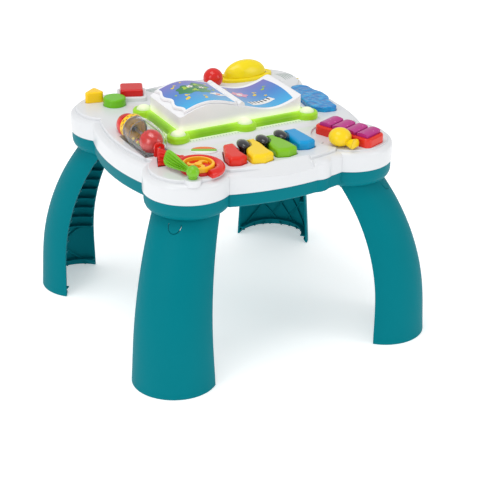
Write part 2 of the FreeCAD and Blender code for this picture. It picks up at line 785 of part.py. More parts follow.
def build_red_ball():
    ball_z = deck_z + red_ball_radius + 1.0
    ball = Part.makeSphere(red_ball_radius, at(red_ball_place[0], red_ball_place[1], ball_z))
    collar = disc(red_ball_place, 7.0, deck_z + rest_gap, ball_z)
    stem = snap_stem(red_ball_place, 4.0, deck_under, ball_z)
    parts["ball_knob"] = one_solid(fused([ball, collar, stem]))


def build_panel():
    top = deck_z + panel_height
    flange_top = deck_under - rest_gap
    low = flange_top - button_flange_height
    cap = raised(panel_face(0, low), top - low)
    cap = eased(cap, top, 2.0)
    hollow = raised(panel_face(-key_wall, low - 1), top - key_wall - low + 1)
    flange = raised(panel_face(panel_flange, low), button_flange_height)
    stems = []
    for y in [40.0, -12.0]:
        stems.append(disc((panel_x - 20, y), stem_radius, contact_top + panel_travel + rest_gap, top - 1))
    parts["wave_panel"] = one_solid(fused([cap.cut(hollow), flange.cut(hollow)] + stems))


# Light ring, lamp domes, book and page

light_places = []
for light_y in [ring_centre_y - light_reach_y, ring_centre_y + light_reach_y]:
    for light_x in [-light_reach_x, light_middle_x, light_reach_x]:
        light_places.append((light_x, light_y))


def build_light_ring():
    outer = raised(rounded_face(rectangle((0, ring_centre_y), ring_half_x, ring_half_y), ring_corner, island_z),
                   ring_height)
    outer = eased(outer, ring_z, 5.5)
    seats = [eased(disc(place, light_radius + light_seat, island_z, ring_z), ring_z, 3.5) for place in light_places]
    inner = raised(rounded_face(rectangle((0, book_centre_y), book_half_x - 6, book_half_y - 6), 8, island_z - 1), 40)
    pockets = [disc(place, light_radius + 0.2, ring_z - 6, ring_z + 20) for place in light_places]
    parts["light_ring"] = one_solid(cut(fused([outer] + seats), [inner] + pockets))
    domes = []
    book_clear = raised(rounded_face(book_rectangle(0.2), book_corner, island_z), 60)
    for place in light_places:
        base = disc(place, light_radius, ring_z - 6, ring_z - 3)
        dome = dome_solid(place, light_radius, light_radius, light_height, ring_z - 3)
        domes.append(one_solid(fused([base, dome]).cut(book_clear)))
    parts["light_domes"] = Part.makeCompound(domes)


def swell(share):
    """Height of the page curve over the flat, from the spine (0) to the outer edge (1)."""
    return page_swell * math.sin(math.pi * share ** 1.15)


def leaf_curve(sign, rise, reach):
    """The page's curve in the XZ plane: a hump left of the spine, a dish right of it, level past the page."""
    points = []
    for i in range(curve_steps + 1):
        share = i / curve_steps
        points.append(at(sign * share * page_reach, 0, hinge_z - sign * swell(share) + rise))
    if reach > page_reach:
        points.append(at(sign * reach, 0, hinge_z - sign * swell(1.0) + rise))
    return points


def book_rectangle(spread):
    return rectangle((0, book_centre_y), book_half_x + spread, book_half_y + spread)


def book_block(drop, inset):
    """The open book's body: humped on the left, dished on the right."""
    lower = page_thickness / 2 + page_gap + drop
    left = leaf_curve(-1, -lower, book_half_x + 6)
    right = leaf_curve(1, -lower, book_half_x + 6)
    curve = Part.BSplineCurve()
    curve.interpolate(left[::-1] + right[1:])
    low_z = ring_z
    first = left[-1]
    last = right[-1]
    edges = [curve.toShape(), Part.LineSegment(last, at(last.x, 0, low_z)).toShape(),
             Part.LineSegment(at(last.x, 0, low_z), at(first.x, 0, low_z)).toShape(),
             Part.LineSegment(at(first.x, 0, low_z), first).toShape()]
    block = Part.Face(Part.Wire(edges)).extrude(at(0, 200, 0))
    block.translate(at(0, -100, 0))
    plan = raised(rounded_face(book_rectangle(-inset), book_corner - inset, ring_z - 1), 60)
    return block.common(plan)


barrel_low = book_centre_y - book_half_y + post_length
barrel_high = book_centre_y + book_half_y - post_length


def build_book():
    shell = book_block(0, 0).cut(book_block(wall, wall).common(box((-200, -200, ring_z), (200, 200, hinge_z + 30))))
    saddle = along_y(barrel_radius + 3, 0, hinge_z, book_centre_y - book_half_y + 1, book_centre_y + book_half_y - 1)
    saddle = saddle.common(box((-20, -200, ring_z), (20, 200, hinge_z - saddle_drop)))
    posts = []
    for low, high in [(barrel_low - post_length + 1, barrel_low - 0.4), (barrel_high + 0.4, barrel_high + post_length - 1)]:
        posts.append(along_y(barrel_radius, 0, hinge_z, low, high))
        posts.append(box((-barrel_radius, low, hinge_z - 8), (barrel_radius, high, hinge_z)))
    body = fused([shell, saddle])
    body = body.cut(along_y(barrel_radius + 0.6, 0, hinge_z, barrel_low - 0.4, barrel_high + 0.4))
    body = fused([body] + posts)
    parts["book_housing"] = one_solid(body.cut(along_y(page_pin_radius, 0, hinge_z, barrel_low - 8, barrel_high + 8)))
    parts["page_pin"] = along_y(page_pin_radius, 0, hinge_z, barrel_low - 8, barrel_high + 8)


def page_plan():
    """The page seen from above, with finger scallops along its outer edge."""
    low_y = book_centre_y - book_half_y + 3
    high_y = book_centre_y + book_half_y - 3
    steps = 18
    outer = []
    for i in range(steps + 1):
        y = high_y + (low_y - high_y) * i / steps
        dip = 2.2 * math.sin(2 * math.pi * 2.5 * i / steps)
        outer.append(at(-page_reach + 3.5 + dip, y, hinge_z - 40))
    curve = Part.BSplineCurve()
    curve.interpolate(outer)
    inner_x = -barrel_radius - 2
    edges = [curve.toShape(), Part.LineSegment(outer[-1], at(inner_x, low_y, hinge_z - 40)).toShape(),
             Part.LineSegment(at(inner_x, low_y, hinge_z - 40), at(inner_x, high_y, hinge_z - 40)).toShape(),
             Part.LineSegment(at(inner_x, high_y, hinge_z - 40), outer[0]).toShape()]
    web = box((inner_x - 1, barrel_low, hinge_z - 40), (0, barrel_high, hinge_z + 40))
    return fused([Part.Face(Part.Wire(edges)).extrude(at(0, 0, 80)), web])


def build_page():
    half = page_thickness / 2
    lower = leaf_curve(-1, -half, page_reach)
    upper = leaf_curve(-1, half, page_reach)
    low_curve = Part.BSplineCurve()
    low_curve.interpolate(lower)
    high_curve = Part.BSplineCurve()
    high_curve.interpolate(upper)
    edges = [low_curve.toShape(), Part.LineSegment(lower[-1], upper[-1]).toShape(), high_curve.toShape(),
             Part.LineSegment(upper[0], lower[0]).toShape()]
    sheet = Part.Face(Part.Wire(Part.__sortEdges__(edges))).extrude(at(0, 200, 0))
    sheet.translate(at(0, -100, 0))
    leaf = sheet.common(page_plan())
    barrel = along_y(barrel_radius, 0, hinge_z, barrel_low, barrel_high)
    page = fused([leaf, barrel]).cut(along_y(page_pin_radius + pin_gap, 0, hinge_z, -200, 200))
    parts["turning_page"] = one_solid(page)


# Housings, after everything that passes through them

boss_places = [(-lobe_offset - 27, 62), (-100, -74), (74, -126), (lobe_offset + 28, -78),
               (lobe_offset + 28, 76), (8, side_peak - 30), (-46, side_peak - 30), (0, side_peak - 78)]
board_posts = {
    "main_board": [(-48, 22), (48, 22), (-48, 78), (48, 78)],
    "key_board": [(-64, rod_y - 6), (56, rod_y - 6), (-64, 34 - side_peak), (30, 32 - side_peak)],
    "button_board": [near(left_lobe, -22, -8), near(left_lobe, 34, -10)],
    "drum_board": [near(back_lobe, -44, -2), near(back_lobe, 4, -2)],
    "panel_board": [(panel_x - 30, 58), (panel_x - 30, -30)],
}
board_plans = {
    "main_board": rectangle((0, 50), 54, 34),
    "key_board": [(-70, 29 - side_peak), (36, 27 - side_peak), (62, 52 - side_peak), (62, rod_y - 1), (-70, rod_y - 1)],
    "button_board": [near(left_lobe, -32, -14), near(left_lobe, 46, -14), near(left_lobe, 46, 34),
                     near(left_lobe, -32, 34)],
    "drum_board": rectangle(near(back_lobe, -20, 14), 30, 20),
    "panel_board": rectangle((panel_x - 22, 14), 12, 50),
}
cell_places = [(0, 34), (0, 50), (0, 66)]
cell_z = floor_z + wall + 0.4 + cell_radius
pocket = ((-31, 25, floor_z - 1), (31, 75, floor_z + wall + 2 * cell_radius + 1.5))
door_half_x = 41.0
door_half_y = 29.0
door_centre = (0, 50)
door_screw_place = near(door_centre, door_half_x - 4.5, 0)
speaker_place = (0, -40)
switch_place = (-30, side_peak - 78)


def moving_openings():
    """Holes in the deck for everything that passes through it."""
    tools = []
    for name in key_shapes:
        tools.append(raised(key_outline(name, key_gap, rim_z - 30), 60))
    for name in black_shapes:
        tools.append(raised(black_outline(name, key_gap, rim_z - 30), 60))
    for name in buttons:
        tools.append(raised(grown(button_face(name, rim_z - 30), slide_gap), 90))
    tools.append(raised(panel_face(slide_gap, rim_z - 30), 60))
    tools.append(raised(ellipse_face(drum_place, drum_dome_x + 2.5, drum_dome_y + 2.5, rim_z - 30), 60))
    tools.append(disc(disc_place, stem_radius + pin_gap, rim_z - 30, rim_z + 30))
    tools.append(disc(lever_place, stem_radius + pin_gap, rim_z - 30, rim_z + 30))
    tools.append(disc(lever_place, stem_radius + barb_reach + 1, rim_z - 10, deck_under))
    tools.append(disc(knob_place, 4.0 + pin_gap, rim_z - 30, rim_z + 30))
    tools.append(disc(red_ball_place, 4.0 + pin_gap, rim_z - 30, rim_z + 30))
    tools.append(box((switch_place[0] - 9, switch_place[1] - 2.5, rim_z), (switch_place[0] + 9, switch_place[1] + 2.5, deck_z + 5)))
    return tools


def square_pad(inset, low, high):
    face = rounded_face(rectangle(square_place, square_side / 2 + 5 - inset, square_side / 2 + 5 - inset, -22), 6, low)
    return raised(face, high - low)


def build_upper_housing():
    pan, trough = trough_solids()
    solids = tray_body(0, seam_z, rim_z, rim_round)
    solids += deck_body(0, rim_z - 3, deck_z, 1.5)
    solids.append(disc(right_lobe, low_deck_radius, rim_z - 3, low_deck_z))
    solids.append(island_body(0, deck_z - 0.5, island_z))
    solids.append(eased(square_pad(0, deck_z - 1, deck_z + square_pad_height), deck_z + square_pad_height, 2.0))
    solids.append(raised(ellipse_face(drum_place, drum_half_x - 1, drum_half_y - 1, rim_z - 3), deck_z - rim_z + 3))
    solids.append(disc(lever_place, boss_radius, rim_z - wall, boss_z))
    outside = fused(solids).cut(disc(right_lobe, low_deck_radius, low_deck_z, deck_z + 30))
    hollows = tray_body(wall, seam_z - 1, rim_z - wall, rim_round - wall, wall)
    hollows += deck_body(wall, rim_z - 6, deck_under, 0, wall)
    hollows.append(island_body(wall, deck_z - 4, island_z - wall))
    hollows.append(square_pad(wall, deck_z - 6, deck_z + square_pad_height - wall))
    hollow = fused(hollows).cut(disc(right_lobe, low_deck_radius + wall, rim_z - wall, deck_z + 30))
    hollow = fused([hollow, disc(right_lobe, low_deck_radius - wall, rim_z - 6, low_deck_z - wall)])
    shell = outside.cut(hollow)
    extras = [pan]
    for x in [-66.0, 58.0]:
        extras.append(box((x - 2, rod_y - 4, rod_z - 4), (x + 2, rod_y + 4, deck_under + 1)))
    for place in boss_places:
        extras.append(disc(place, screw_radius + boss_wall, seam_z + 2, deck_under + 1))
    shell = fused([shell] + extras)
    shell = cut(shell, moving_openings() + [trough])
    drills = [along_x(key_rod_radius, rod_y, rod_z, -70, 62)]
    for place in boss_places:
        drills.append(disc(place, screw_radius, seam_z, seam_z + 20))
    parts["upper_housing"] = one_solid(cut(shell, drills))


def socket_bowl(place, inset):
    outer = lobe_radius - 1.5 - inset
    neck = leg_top_radius + 1.0 - inset
    low = socket_z + inset
    profile = [(0, low), (neck, low)]
    for i in range(1, 6):
        angle = math.radians(90 * i / 5)
        profile.append((neck + (outer - neck) * math.sin(angle), low + 13 * (1 - math.cos(angle))))
    profile += [(outer, seam_z + (1 if inset else 0)), (0, seam_z + (1 if inset else 0))]
    return revolved_z(place, profile)


def half_tube(place_angle, outer, inner, low, high):
    """Half a tube about a lobe's centre, open towards the middle of the tray."""
    reach = lobe_offset * math.sqrt(2)
    tube = disc((reach, 0), outer, low, high).cut(disc((reach, 0), inner, low - 1, high + 1))
    tube = tube.common(box((reach, -100, low), (reach + 100, 100, high)))
    tube.rotate(at(0, 0, 0), at(0, 0, 1), place_angle)
    return tube


leg_angles = {"front_leg": -135, "right_leg": -45, "left_leg": 135, "back_leg": 45}
spigot_outer = leg_top_radius - 1.2
spigot_inner = spigot_outer - spigot_wall


def build_lower_housing():
    low_fillet = 5.0
    middle = raised(side_face(1.5, floor_z), band_height)
    middle = middle.makeFillet(low_fillet, edges_at(middle, floor_z))
    solids = [middle]
    hollows = [raised(side_face(1.5 + wall, floor_z + wall), band_height)]
    for place in columns:
        column = disc(place, column_radius - 1.5, floor_z, seam_z)
        solids.append(column.makeFillet(low_fillet, edges_at(column, floor_z)))
        hollows.append(disc(place, column_radius - 1.5 - wall, floor_z + wall, seam_z + 1))
    for place in lobes:
        solids.append(socket_bowl(place, 0))
        hollows.append(socket_bowl(place, wall))
    shell = fused(solids).cut(fused(hollows))
    extras = []
    for place in lobes:
        extras.append(disc(place, leg_top_radius + 3, socket_z + spigot_height + 3, socket_z + spigot_height + 5))
        extras.append(disc(place, 6, socket_z + 1, socket_z + spigot_height + 4))
    for angle in leg_angles.values():
        extras.append(half_tube(angle, spigot_outer + socket_gap + 2, spigot_inner - socket_gap - 2, socket_z + 1,
                                socket_z + spigot_height + 4))
    for place in boss_places:
        extras.append(disc(place, screw_head_radius + 2, floor_z, seam_z + 1.7))
    for name, places in board_posts.items():
        for place in places:
            extras.append(disc(place, 3.0, floor_z + 1, board_z))
    low, high = pocket
    extras.append(box((low[0] - 2, low[1] - 2, floor_z), (high[0] + 2, high[1] + 2, high[2] + 2)))
    extras.append(disc(speaker_place, speaker_radius + 2.5, floor_z, floor_z + wall + 4).cut(
        disc(speaker_place, speaker_radius + 0.2, floor_z - 1, floor_z + 30)))
    extras.append(disc(door_screw_place, 4.0, floor_z, floor_z + 11))
    shell = fused([shell] + extras)
    tools = [box(low, high)]
    door_room = rectangle(door_centre, door_half_x, door_half_y)
    tools.append(raised(rounded_face(door_room, 4, floor_z - 1), 1 + wall))
    for angle in leg_angles.values():
        tools.append(half_tube(angle, spigot_outer + socket_gap, spigot_inner - socket_gap, socket_z - 1,
                               socket_z + spigot_height + 1))
    for place in boss_places:
        tools.append(disc(place, screw_head_radius + 0.3, floor_z - 1, floor_z + 8))
        tools.append(disc(place, screw_radius + 0.35, floor_z, seam_z + 5))
    for i in range(-2, 3):
        for j in range(-2, 3):
            if i * i + j * j < 7:
                tools.append(disc(near(speaker_place, 7.5 * i, 7.5 * j), 2.0, floor_z - 1, floor_z + wall + 1))
    tools.append(disc(door_screw_place, 1.15, floor_z, floor_z + 9))
    parts["lower_housing"] = one_solid(cut(shell, tools))


def build_fasteners():
    screws = []
    for place in boss_places:
        head = disc(place, screw_head_radius, floor_z + 5.6, floor_z + 8)
        shank = disc(place, screw_radius, floor_z + 8, seam_z + 17)
        screws.append(fused([head, shank]))
    parts["housing_screws"] = Part.makeCompound(screws)


def build_leg():
    """One leg standing at angle zero, its hollow side towards the middle of the table."""
    start = lobe_offset * math.sqrt(2)
    top_z = socket_z - 0.3
    rise = top_z - leg_straight
    splay = leg_bend_radius - math.sqrt(leg_bend_radius ** 2 - rise ** 2)

    def middle(z):
        if z <= leg_straight:
            return start + splay
        return start + splay - (leg_bend_radius - math.sqrt(leg_bend_radius ** 2 - (z - leg_straight) ** 2))

    def radius(z):
        return leg_foot_radius + (leg_top_radius - leg_foot_radius) * z / top_z

    def section(z, inset):
        r = radius(z) - inset
        x = middle(z)
        arc = Part.Arc(at(x, -r, z), at(x + r, 0, z), at(x, r, z)).toShape()
        line = Part.LineSegment(at(x, r, z), at(x, -r, z)).toShape()
        return Part.Wire([arc, line])

    levels = [0.0, leg_straight / 2, leg_straight]
    count = 6
    for i in range(1, count + 1):
        levels.append(leg_straight + rise * i / count)
    core = Part.makeLoft([section(z, 0) for z in levels], True, False)
    room = Part.makeLoft([section(z, leg_wall) for z in levels], True, False)
    well = Part.makeLoft([section(z, leg_wall + leg_rib_depth) for z in levels], True, False)
    slabs = [box((0, -100, foot_rib_z), (400, 100, foot_rib_z + leg_rib_wall))]
    for i in range(leg_rib_count):
        z = first_ledge_z + leg_rib_pitch * i
        slabs.append(box((0, -100, z), (400, 100, z + leg_rib_wall)))
    ribs = room.cut(well).common(Part.makeCompound(slabs))
    shallow = Part.makeLoft([section(z, leg_wall + brace_depth) for z in levels], True, False)
    braces = []
    for y in brace_places:
        for turn in [-brace_angle, brace_angle]:
            bar = box((0, -leg_rib_wall / 2, -80), (400, leg_rib_wall / 2, 80))
            bar.rotate(at(0, 0, 0), at(1, 0, 0), turn)
            bar.translate(at(0, y, (foot_rib_z + first_ledge_z) / 2))
            braces.append(bar)
    for angle in foot_rib_angles:
        bar = box((0, -leg_rib_wall / 2, -100), (100, leg_rib_wall / 2, foot_rib_z + 1))
        bar.rotate(at(0, 0, 0), at(0, 0, 1), angle)
        bar.translate(at(middle(0), 0, 0))
        braces.append(bar.common(box((0, -100, 0), (400, 100, foot_rib_z + 1))))
    braced = box((0, -100, 0), (400, 100, first_ledge_z + 1))
    thin_ribs = room.cut(shallow).common(fused(braces)).common(braced)
    shell = core.cut(room)
    ledge = disc((start, 0), radius(top_z), top_z - 2.5, top_z).cut(disc((start, 0), spigot_inner, top_z - 5, top_z + 5))
    ledge = ledge.common(box((start, -100, top_z - 2.5), (start + 100, 100, top_z)))
    spigot = disc((start, 0), spigot_outer, top_z - 2.5, socket_z + spigot_height).cut(
        disc((start, 0), spigot_inner, top_z - 5, seam_z))
    spigot = spigot.common(box((start, -100, top_z - 2.5), (start + 100, 100, seam_z)))
    body = fused([shell, ledge, spigot] + ribs.Solids + thin_ribs.Solids)
    tab_z = socket_z - snap_drop
    groove = Part.makeCylinder(snap_radius, 100, at(start, 0, tab_z), at(1, 0, 0))
    groove = groove.cut(Part.makeCylinder(snap_radius - snap_groove, 100, at(start, 0, tab_z), at(1, 0, 0)))
    groove = groove.common(box((start, -20, tab_z - 20), (start + 100, 20, tab_z + 2)))
    return one_solid(body.cut(groove))


def build_legs():
    leg = build_leg()
    for name, angle in leg_angles.items():
        copy = leg.copy()
        copy.rotate(at(0, 0, 0), at(0, 0, 1), angle)
        parts[name] = copy


def build_insides():
    boards = {name: raised(rounded_face(plan, 3.0, board_z), board_thickness) for name, plan in board_plans.items()}
    parts["main_board"] = boards["main_board"]
    parts["key_board"] = boards["key_board"]
    parts["button_board"] = boards["button_board"]
    parts["side_boards"] = Part.makeCompound([boards["drum_board"], boards["panel_board"]])
    mats = []
    for name in key_shapes:
        front = key_shapes[name][0]
        mats.append(disc((front[0], front[1] - side_peak + 22), contact_radius, board_z + board_thickness,
                         contact_top + 3.2))
    for name in black_shapes:
        x, y, turn = black_shapes[name]
        mats.append(disc((x, y - side_peak - 4), contact_radius, board_z + board_thickness, contact_top + 3.2))
    parts["key_contacts"] = Part.makeCompound(mats)
    domes = []
    for name in buttons:
        centre = button_centre(name)
        domes.append(disc((centre.x, centre.y), contact_radius, board_z + board_thickness, contact_top))
    domes.append(disc(drum_place, contact_radius, board_z + board_thickness, contact_top))
    for y in [40.0, -12.0]:
        domes.append(disc((panel_x - 20, y), contact_radius, board_z + board_thickness, contact_top))
    parts["button_contacts"] = Part.makeCompound(domes)
    parts["key_rod"] = along_x(key_rod_radius, rod_y, rod_z, -68, 60)
    parts["battery_cells"] = Part.makeCompound([
        fused([along_x(cell_radius, y, cell_z, x - cell_length / 2, x + cell_length / 2 - 1.5),
               along_x(2.6, y, cell_z, x + cell_length / 2 - 1.6, x + cell_length / 2)]) for x, y in cell_places])
    contacts = []
    for x, y in cell_places:
        for low, high in [(-31.0, -30.4), (30.4, 31.0)]:
            contacts.append(box((low, y - 6, cell_z - 5), (high, y + 6, cell_z + 6)))
        spring = Part.makeCone(4.5, 3.0, 5.2, at(-30.4, y, cell_z), at(1, 0, 0))
        contacts.append(spring.cut(Part.makeCone(3.3, 1.8, 5.2, at(-30.4, y, cell_z), at(1, 0, 0))))
        contacts.append(along_x(2.5, y, cell_z, 25.2, 30.4))
    parts["battery_contacts"] = Part.makeCompound(contacts)
    plate = rounded_face(rectangle(door_centre, door_half_x - 0.3, door_half_y - 0.3), 3.7, floor_z)
    door = raised(plate, wall - 0.3)
    door = door.cut(disc(door_screw_place, 2.0, floor_z - 1, floor_z + 5))
    parts["battery_door"] = one_solid(door)
    parts["door_screw"] = fused([disc(door_screw_place, 1.9, floor_z + 0.2, floor_z + 2.4),
                                 disc(door_screw_place, 1.15, floor_z + 2.4, floor_z + 9)])
    x, y = speaker_place
    low = floor_z + wall
    basket = fused([disc(speaker_place, speaker_radius, low, low + 2),
                    Part.makeCone(speaker_radius - 1, 15, 9, at(x, y, low + 2))])
    basket = basket.cut(fused([disc(speaker_place, speaker_radius - 4, low - 1, low + 2),
                               Part.makeCone(speaker_radius - 4, 12.5, 9, at(x, y, low + 2))]))
    parts["speaker_basket"] = one_solid(basket)
    parts["speaker_magnet"] = disc(speaker_place, 15, low + 11, low + 18)
    cone = Part.makeCone(speaker_radius - 4.4, 11, 8.2, at(x, y, low + 1.6))
    parts["speaker_cone"] = cone.cut(Part.makeCone(speaker_radius - 5.6, 9.8, 8.2, at(x, y, low + 1.2)))
    x, y = switch_place
    lever = fused([box((x - 2, y - 2, deck_under - 2), (x + 2, y + 2, deck_z + 3.5)),
                   box((x - 7, y - 5, deck_under - 1.5), (x + 7, y + 5, deck_under - rest_gap))])
    parts["power_switch"] = lever


build_upper_housing()
build_lower_housing()
build_legs()
for key_name in key_shapes:
    parts[key_name] = coloured_key(key_name)
for key_name in black_shapes:
    parts[key_name] = black_key(key_name)
build_roller()
build_roller_ends()
for button_name in buttons:
    build_button(button_name)
build_frame()
for pad_index in range(pad_count):
    build_pad(pad_index)
build_knob()
build_horn()
build_disc()
build_lever()
build_drum()
build_red_ball()
build_panel()
build_light_ring()
build_book()
build_page()
build_insides()
build_fasteners()

os.makedirs("parts", exist_ok=True)
for node, shape in parts.items():
    shape.exportStep("parts/" + node + ".step")
    print(node, len(shape.Solids), round(shape.Volume), shape.isValid())
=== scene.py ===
import math

import bmesh
import bpy
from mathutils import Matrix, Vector


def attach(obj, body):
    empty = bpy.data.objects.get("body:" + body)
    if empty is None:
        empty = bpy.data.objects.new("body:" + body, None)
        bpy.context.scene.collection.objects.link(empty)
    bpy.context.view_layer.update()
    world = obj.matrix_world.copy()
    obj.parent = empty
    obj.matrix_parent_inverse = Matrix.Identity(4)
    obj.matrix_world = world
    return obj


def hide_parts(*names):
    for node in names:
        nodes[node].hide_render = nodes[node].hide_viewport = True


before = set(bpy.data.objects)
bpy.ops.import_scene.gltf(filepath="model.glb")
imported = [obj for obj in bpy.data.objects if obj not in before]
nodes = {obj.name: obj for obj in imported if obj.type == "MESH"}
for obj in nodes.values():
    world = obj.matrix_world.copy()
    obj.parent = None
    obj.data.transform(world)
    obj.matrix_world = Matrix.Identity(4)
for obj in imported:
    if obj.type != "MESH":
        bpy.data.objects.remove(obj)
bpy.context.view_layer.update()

# The studio: a white sweep of paper under the table and a soft light all round it.
# The paper shows white to the camera and still takes the table's shadow.

studio_world = bpy.data.worlds.new("studio_air")
bpy.context.scene.world = studio_world
studio_world.use_nodes = True
air = studio_world.node_tree
air.nodes.clear()
air_out = air.nodes.new("ShaderNodeOutputWorld")
air_mix = air.nodes.new("ShaderNodeMixShader")
air_light = air.nodes.new("ShaderNodeBackground")
air_seen = air.nodes.new("ShaderNodeBackground")
air_rays = air.nodes.new("ShaderNodeLightPath")
air_light.inputs["Color"].default_value = (1.0, 1.0, 1.0, 1)
air_light.inputs["Strength"].default_value = 0.66
air_seen.inputs["Color"].default_value = (1, 1, 1, 1)
air_seen.inputs["Strength"].default_value = 1.0
air.links.new(air_rays.outputs["Is Camera Ray"], air_mix.inputs["Fac"])
air.links.new(air_light.outputs["Background"], air_mix.inputs[1])
air.links.new(air_seen.outputs["Background"], air_mix.inputs[2])
air.links.new(air_mix.outputs["Shader"], air_out.inputs["Surface"])

paper_mesh = bpy.data.meshes.new("paper")
paper_half = 6
paper_mesh.from_pydata([(-paper_half, -paper_half, 0), (paper_half, -paper_half, 0),
                        (paper_half, paper_half, 0), (-paper_half, paper_half, 0)], [], [(0, 1, 2, 3)])
paper = bpy.data.objects.new("paper", paper_mesh)
bpy.context.scene.collection.objects.link(paper)
paper.location.z = -0.0004
paper_look = bpy.data.materials.new("studio_paper")
paper_look.use_nodes = True
paper_shader = paper_look.node_tree.nodes["Principled BSDF"]
paper_shader.inputs["Base Color"].default_value = (0.96, 0.96, 0.96, 1)
paper_shader.inputs["Roughness"].default_value = 0.55
paper_shader.inputs["Emission Color"].default_value = (1, 1, 1, 1)
paper_shader.inputs["Emission Strength"].default_value = 0.4
paper_mesh.materials.append(paper_look)

lamp_aim = (0, 0, 0.2)


def softbox(name, place, size, power):
    """A rectangular lamp in metres and watts that faces the table."""
    lamp = bpy.data.lights.new(name, "AREA")
    lamp.shape = "RECTANGLE"
    lamp.size, lamp.size_y = size
    lamp.energy = power
    holder = bpy.data.objects.new(name, lamp)
    holder.location = place
    holder.rotation_euler = (Vector(lamp_aim) - Vector(place)).to_track_quat("-Z", "Y").to_euler()
    bpy.context.scene.collection.objects.link(holder)


softbox("overhead_softbox", (-0.4, -0.1, 2.0), (1.2, 0.9), 11)
softbox("left_softbox", (-1.8, -0.8, 1.1), (0.9, 1.2), 9)
softbox("right_softbox", (1.3, -1.5, 0.9), (0.8, 1.0), 6)

camera_data = bpy.data.cameras.new("camera")
camera_data.lens = 117.765
camera_data.sensor_width = 36.0
camera = bpy.data.objects.new("camera", camera_data)
camera.location = (-0.93446, -1.81394, 1.06780)
camera.rotation_euler = [math.radians(a) for a in (64.6545, -0.3084, -27.5432)]
bpy.context.scene.collection.objects.link(camera)
bpy.context.scene.camera = camera
bpy.context.scene.view_settings.view_transform = "Standard"


# The four legs are moulded in one colour of ABS with a fine spark-eroded grain, open on the inner side.
# Each plugs into a socket under the tray and is held there by a snap tab.

def moulded_plastic(name, colour, roughness, grain=0.05, grain_scale=900.0, shine=0.12,
                    mottle=0.03, gloss=0.3, edge=0.0007):
    """A plastic whose tint and gloss drift a little, with a soft edge and a fine grain."""
    look = bpy.data.materials.new(name)
    look.use_nodes = True
    tree = look.node_tree
    shader = tree.nodes["Principled BSDF"]
    place = tree.nodes.new("ShaderNodeTexCoord")
    clouds = tree.nodes.new("ShaderNodeTexNoise")
    clouds.inputs["Scale"].default_value = 14.0
    clouds.inputs["Detail"].default_value = 3.0
    tree.links.new(place.outputs["Object"], clouds.inputs["Vector"])
    tint = tree.nodes.new("ShaderNodeMix")
    tint.data_type = "RGBA"
    tint.inputs["A"].default_value = [c * (1 - mottle) for c in colour] + [1]
    tint.inputs["B"].default_value = [min(1.0, c * (1 + mottle)) for c in colour] + [1]
    tree.links.new(clouds.outputs["Fac"], tint.inputs["Factor"])
    tree.links.new(tint.outputs["Result"], shader.inputs["Base Color"])
    wear = tree.nodes.new("ShaderNodeMapRange")
    wear.inputs["To Min"].default_value = roughness - 0.04
    wear.inputs["To Max"].default_value = roughness + 0.05
    tree.links.new(clouds.outputs["Fac"], wear.inputs["Value"])
    tree.links.new(wear.outputs["Result"], shader.inputs["Roughness"])
    sparks = tree.nodes.new("ShaderNodeTexNoise")
    sparks.inputs["Scale"].default_value = grain_scale
    sparks.inputs["Detail"].default_value = 2.0
    tree.links.new(place.outputs["Object"], sparks.inputs["Vector"])
    soft_edge = tree.nodes.new("ShaderNodeBevel")
    soft_edge.samples = 4
    soft_edge.inputs["Radius"].default_value = edge
    pits = tree.nodes.new("ShaderNodeBump")
    pits.name = "pits"
    pits.inputs["Strength"].default_value = grain
    pits.inputs["Distance"].default_value = 0.0004
    tree.links.new(sparks.outputs["Fac"], pits.inputs["Height"])
    tree.links.new(soft_edge.outputs["Normal"], pits.inputs["Normal"])
    tree.links.new(pits.outputs["Normal"], shader.inputs["Normal"])
    shader.inputs["Coat Weight"].default_value = shine
    shader.inputs["Coat Roughness"].default_value = 0.12
    shader.inputs["Specular IOR Level"].default_value = gloss
    return look


def dress(node_names, look):
    """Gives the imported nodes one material, with only their real edges left sharp."""
    for name in node_names:
        mesh = nodes[name].data
        mesh.materials.clear()
        mesh.materials.append(look)
        mesh.shade_smooth()
        mesh.set_sharp_from_angle(angle=math.radians(32))


teal = (0.0, 0.185, 0.225)
leg_teal = moulded_plastic("leg_teal", teal, 0.5, grain=0.3, grain_scale=1400.0, shine=0.0, gloss=0.04)
dress(["front_leg", "left_leg", "right_leg", "back_leg"], leg_teal)

# The lower housing carries the boards and batteries and forms the teal band under the white tray.
# It is one moulding with the leg sockets; the screws, rods and spring contacts are zinc plated.

band_teal = moulded_plastic("band_teal", teal, 0.42, grain=0.15, grain_scale=1400.0, shine=0.0, gloss=0.06)
dress(["lower_housing", "battery_door"], band_teal)

zinc = moulded_plastic("zinc_steel", (0.62, 0.63, 0.65), 0.3, grain=0.08, grain_scale=2600.0,
                       shine=0.0, mottle=0.06)
zinc.node_tree.nodes["Principled BSDF"].inputs["Metallic"].default_value = 1.0
dress(["housing_screws", "door_screw", "battery_contacts", "key_rod", "page_pin", "roller_axle",
       "speaker_basket"], zinc)

# Inside the housings: three battery cells in printed sleeves, green boards, rubber contact domes and
# the speaker. The boards carry copper tracks under a green lacquer, drawn by a brick pattern.

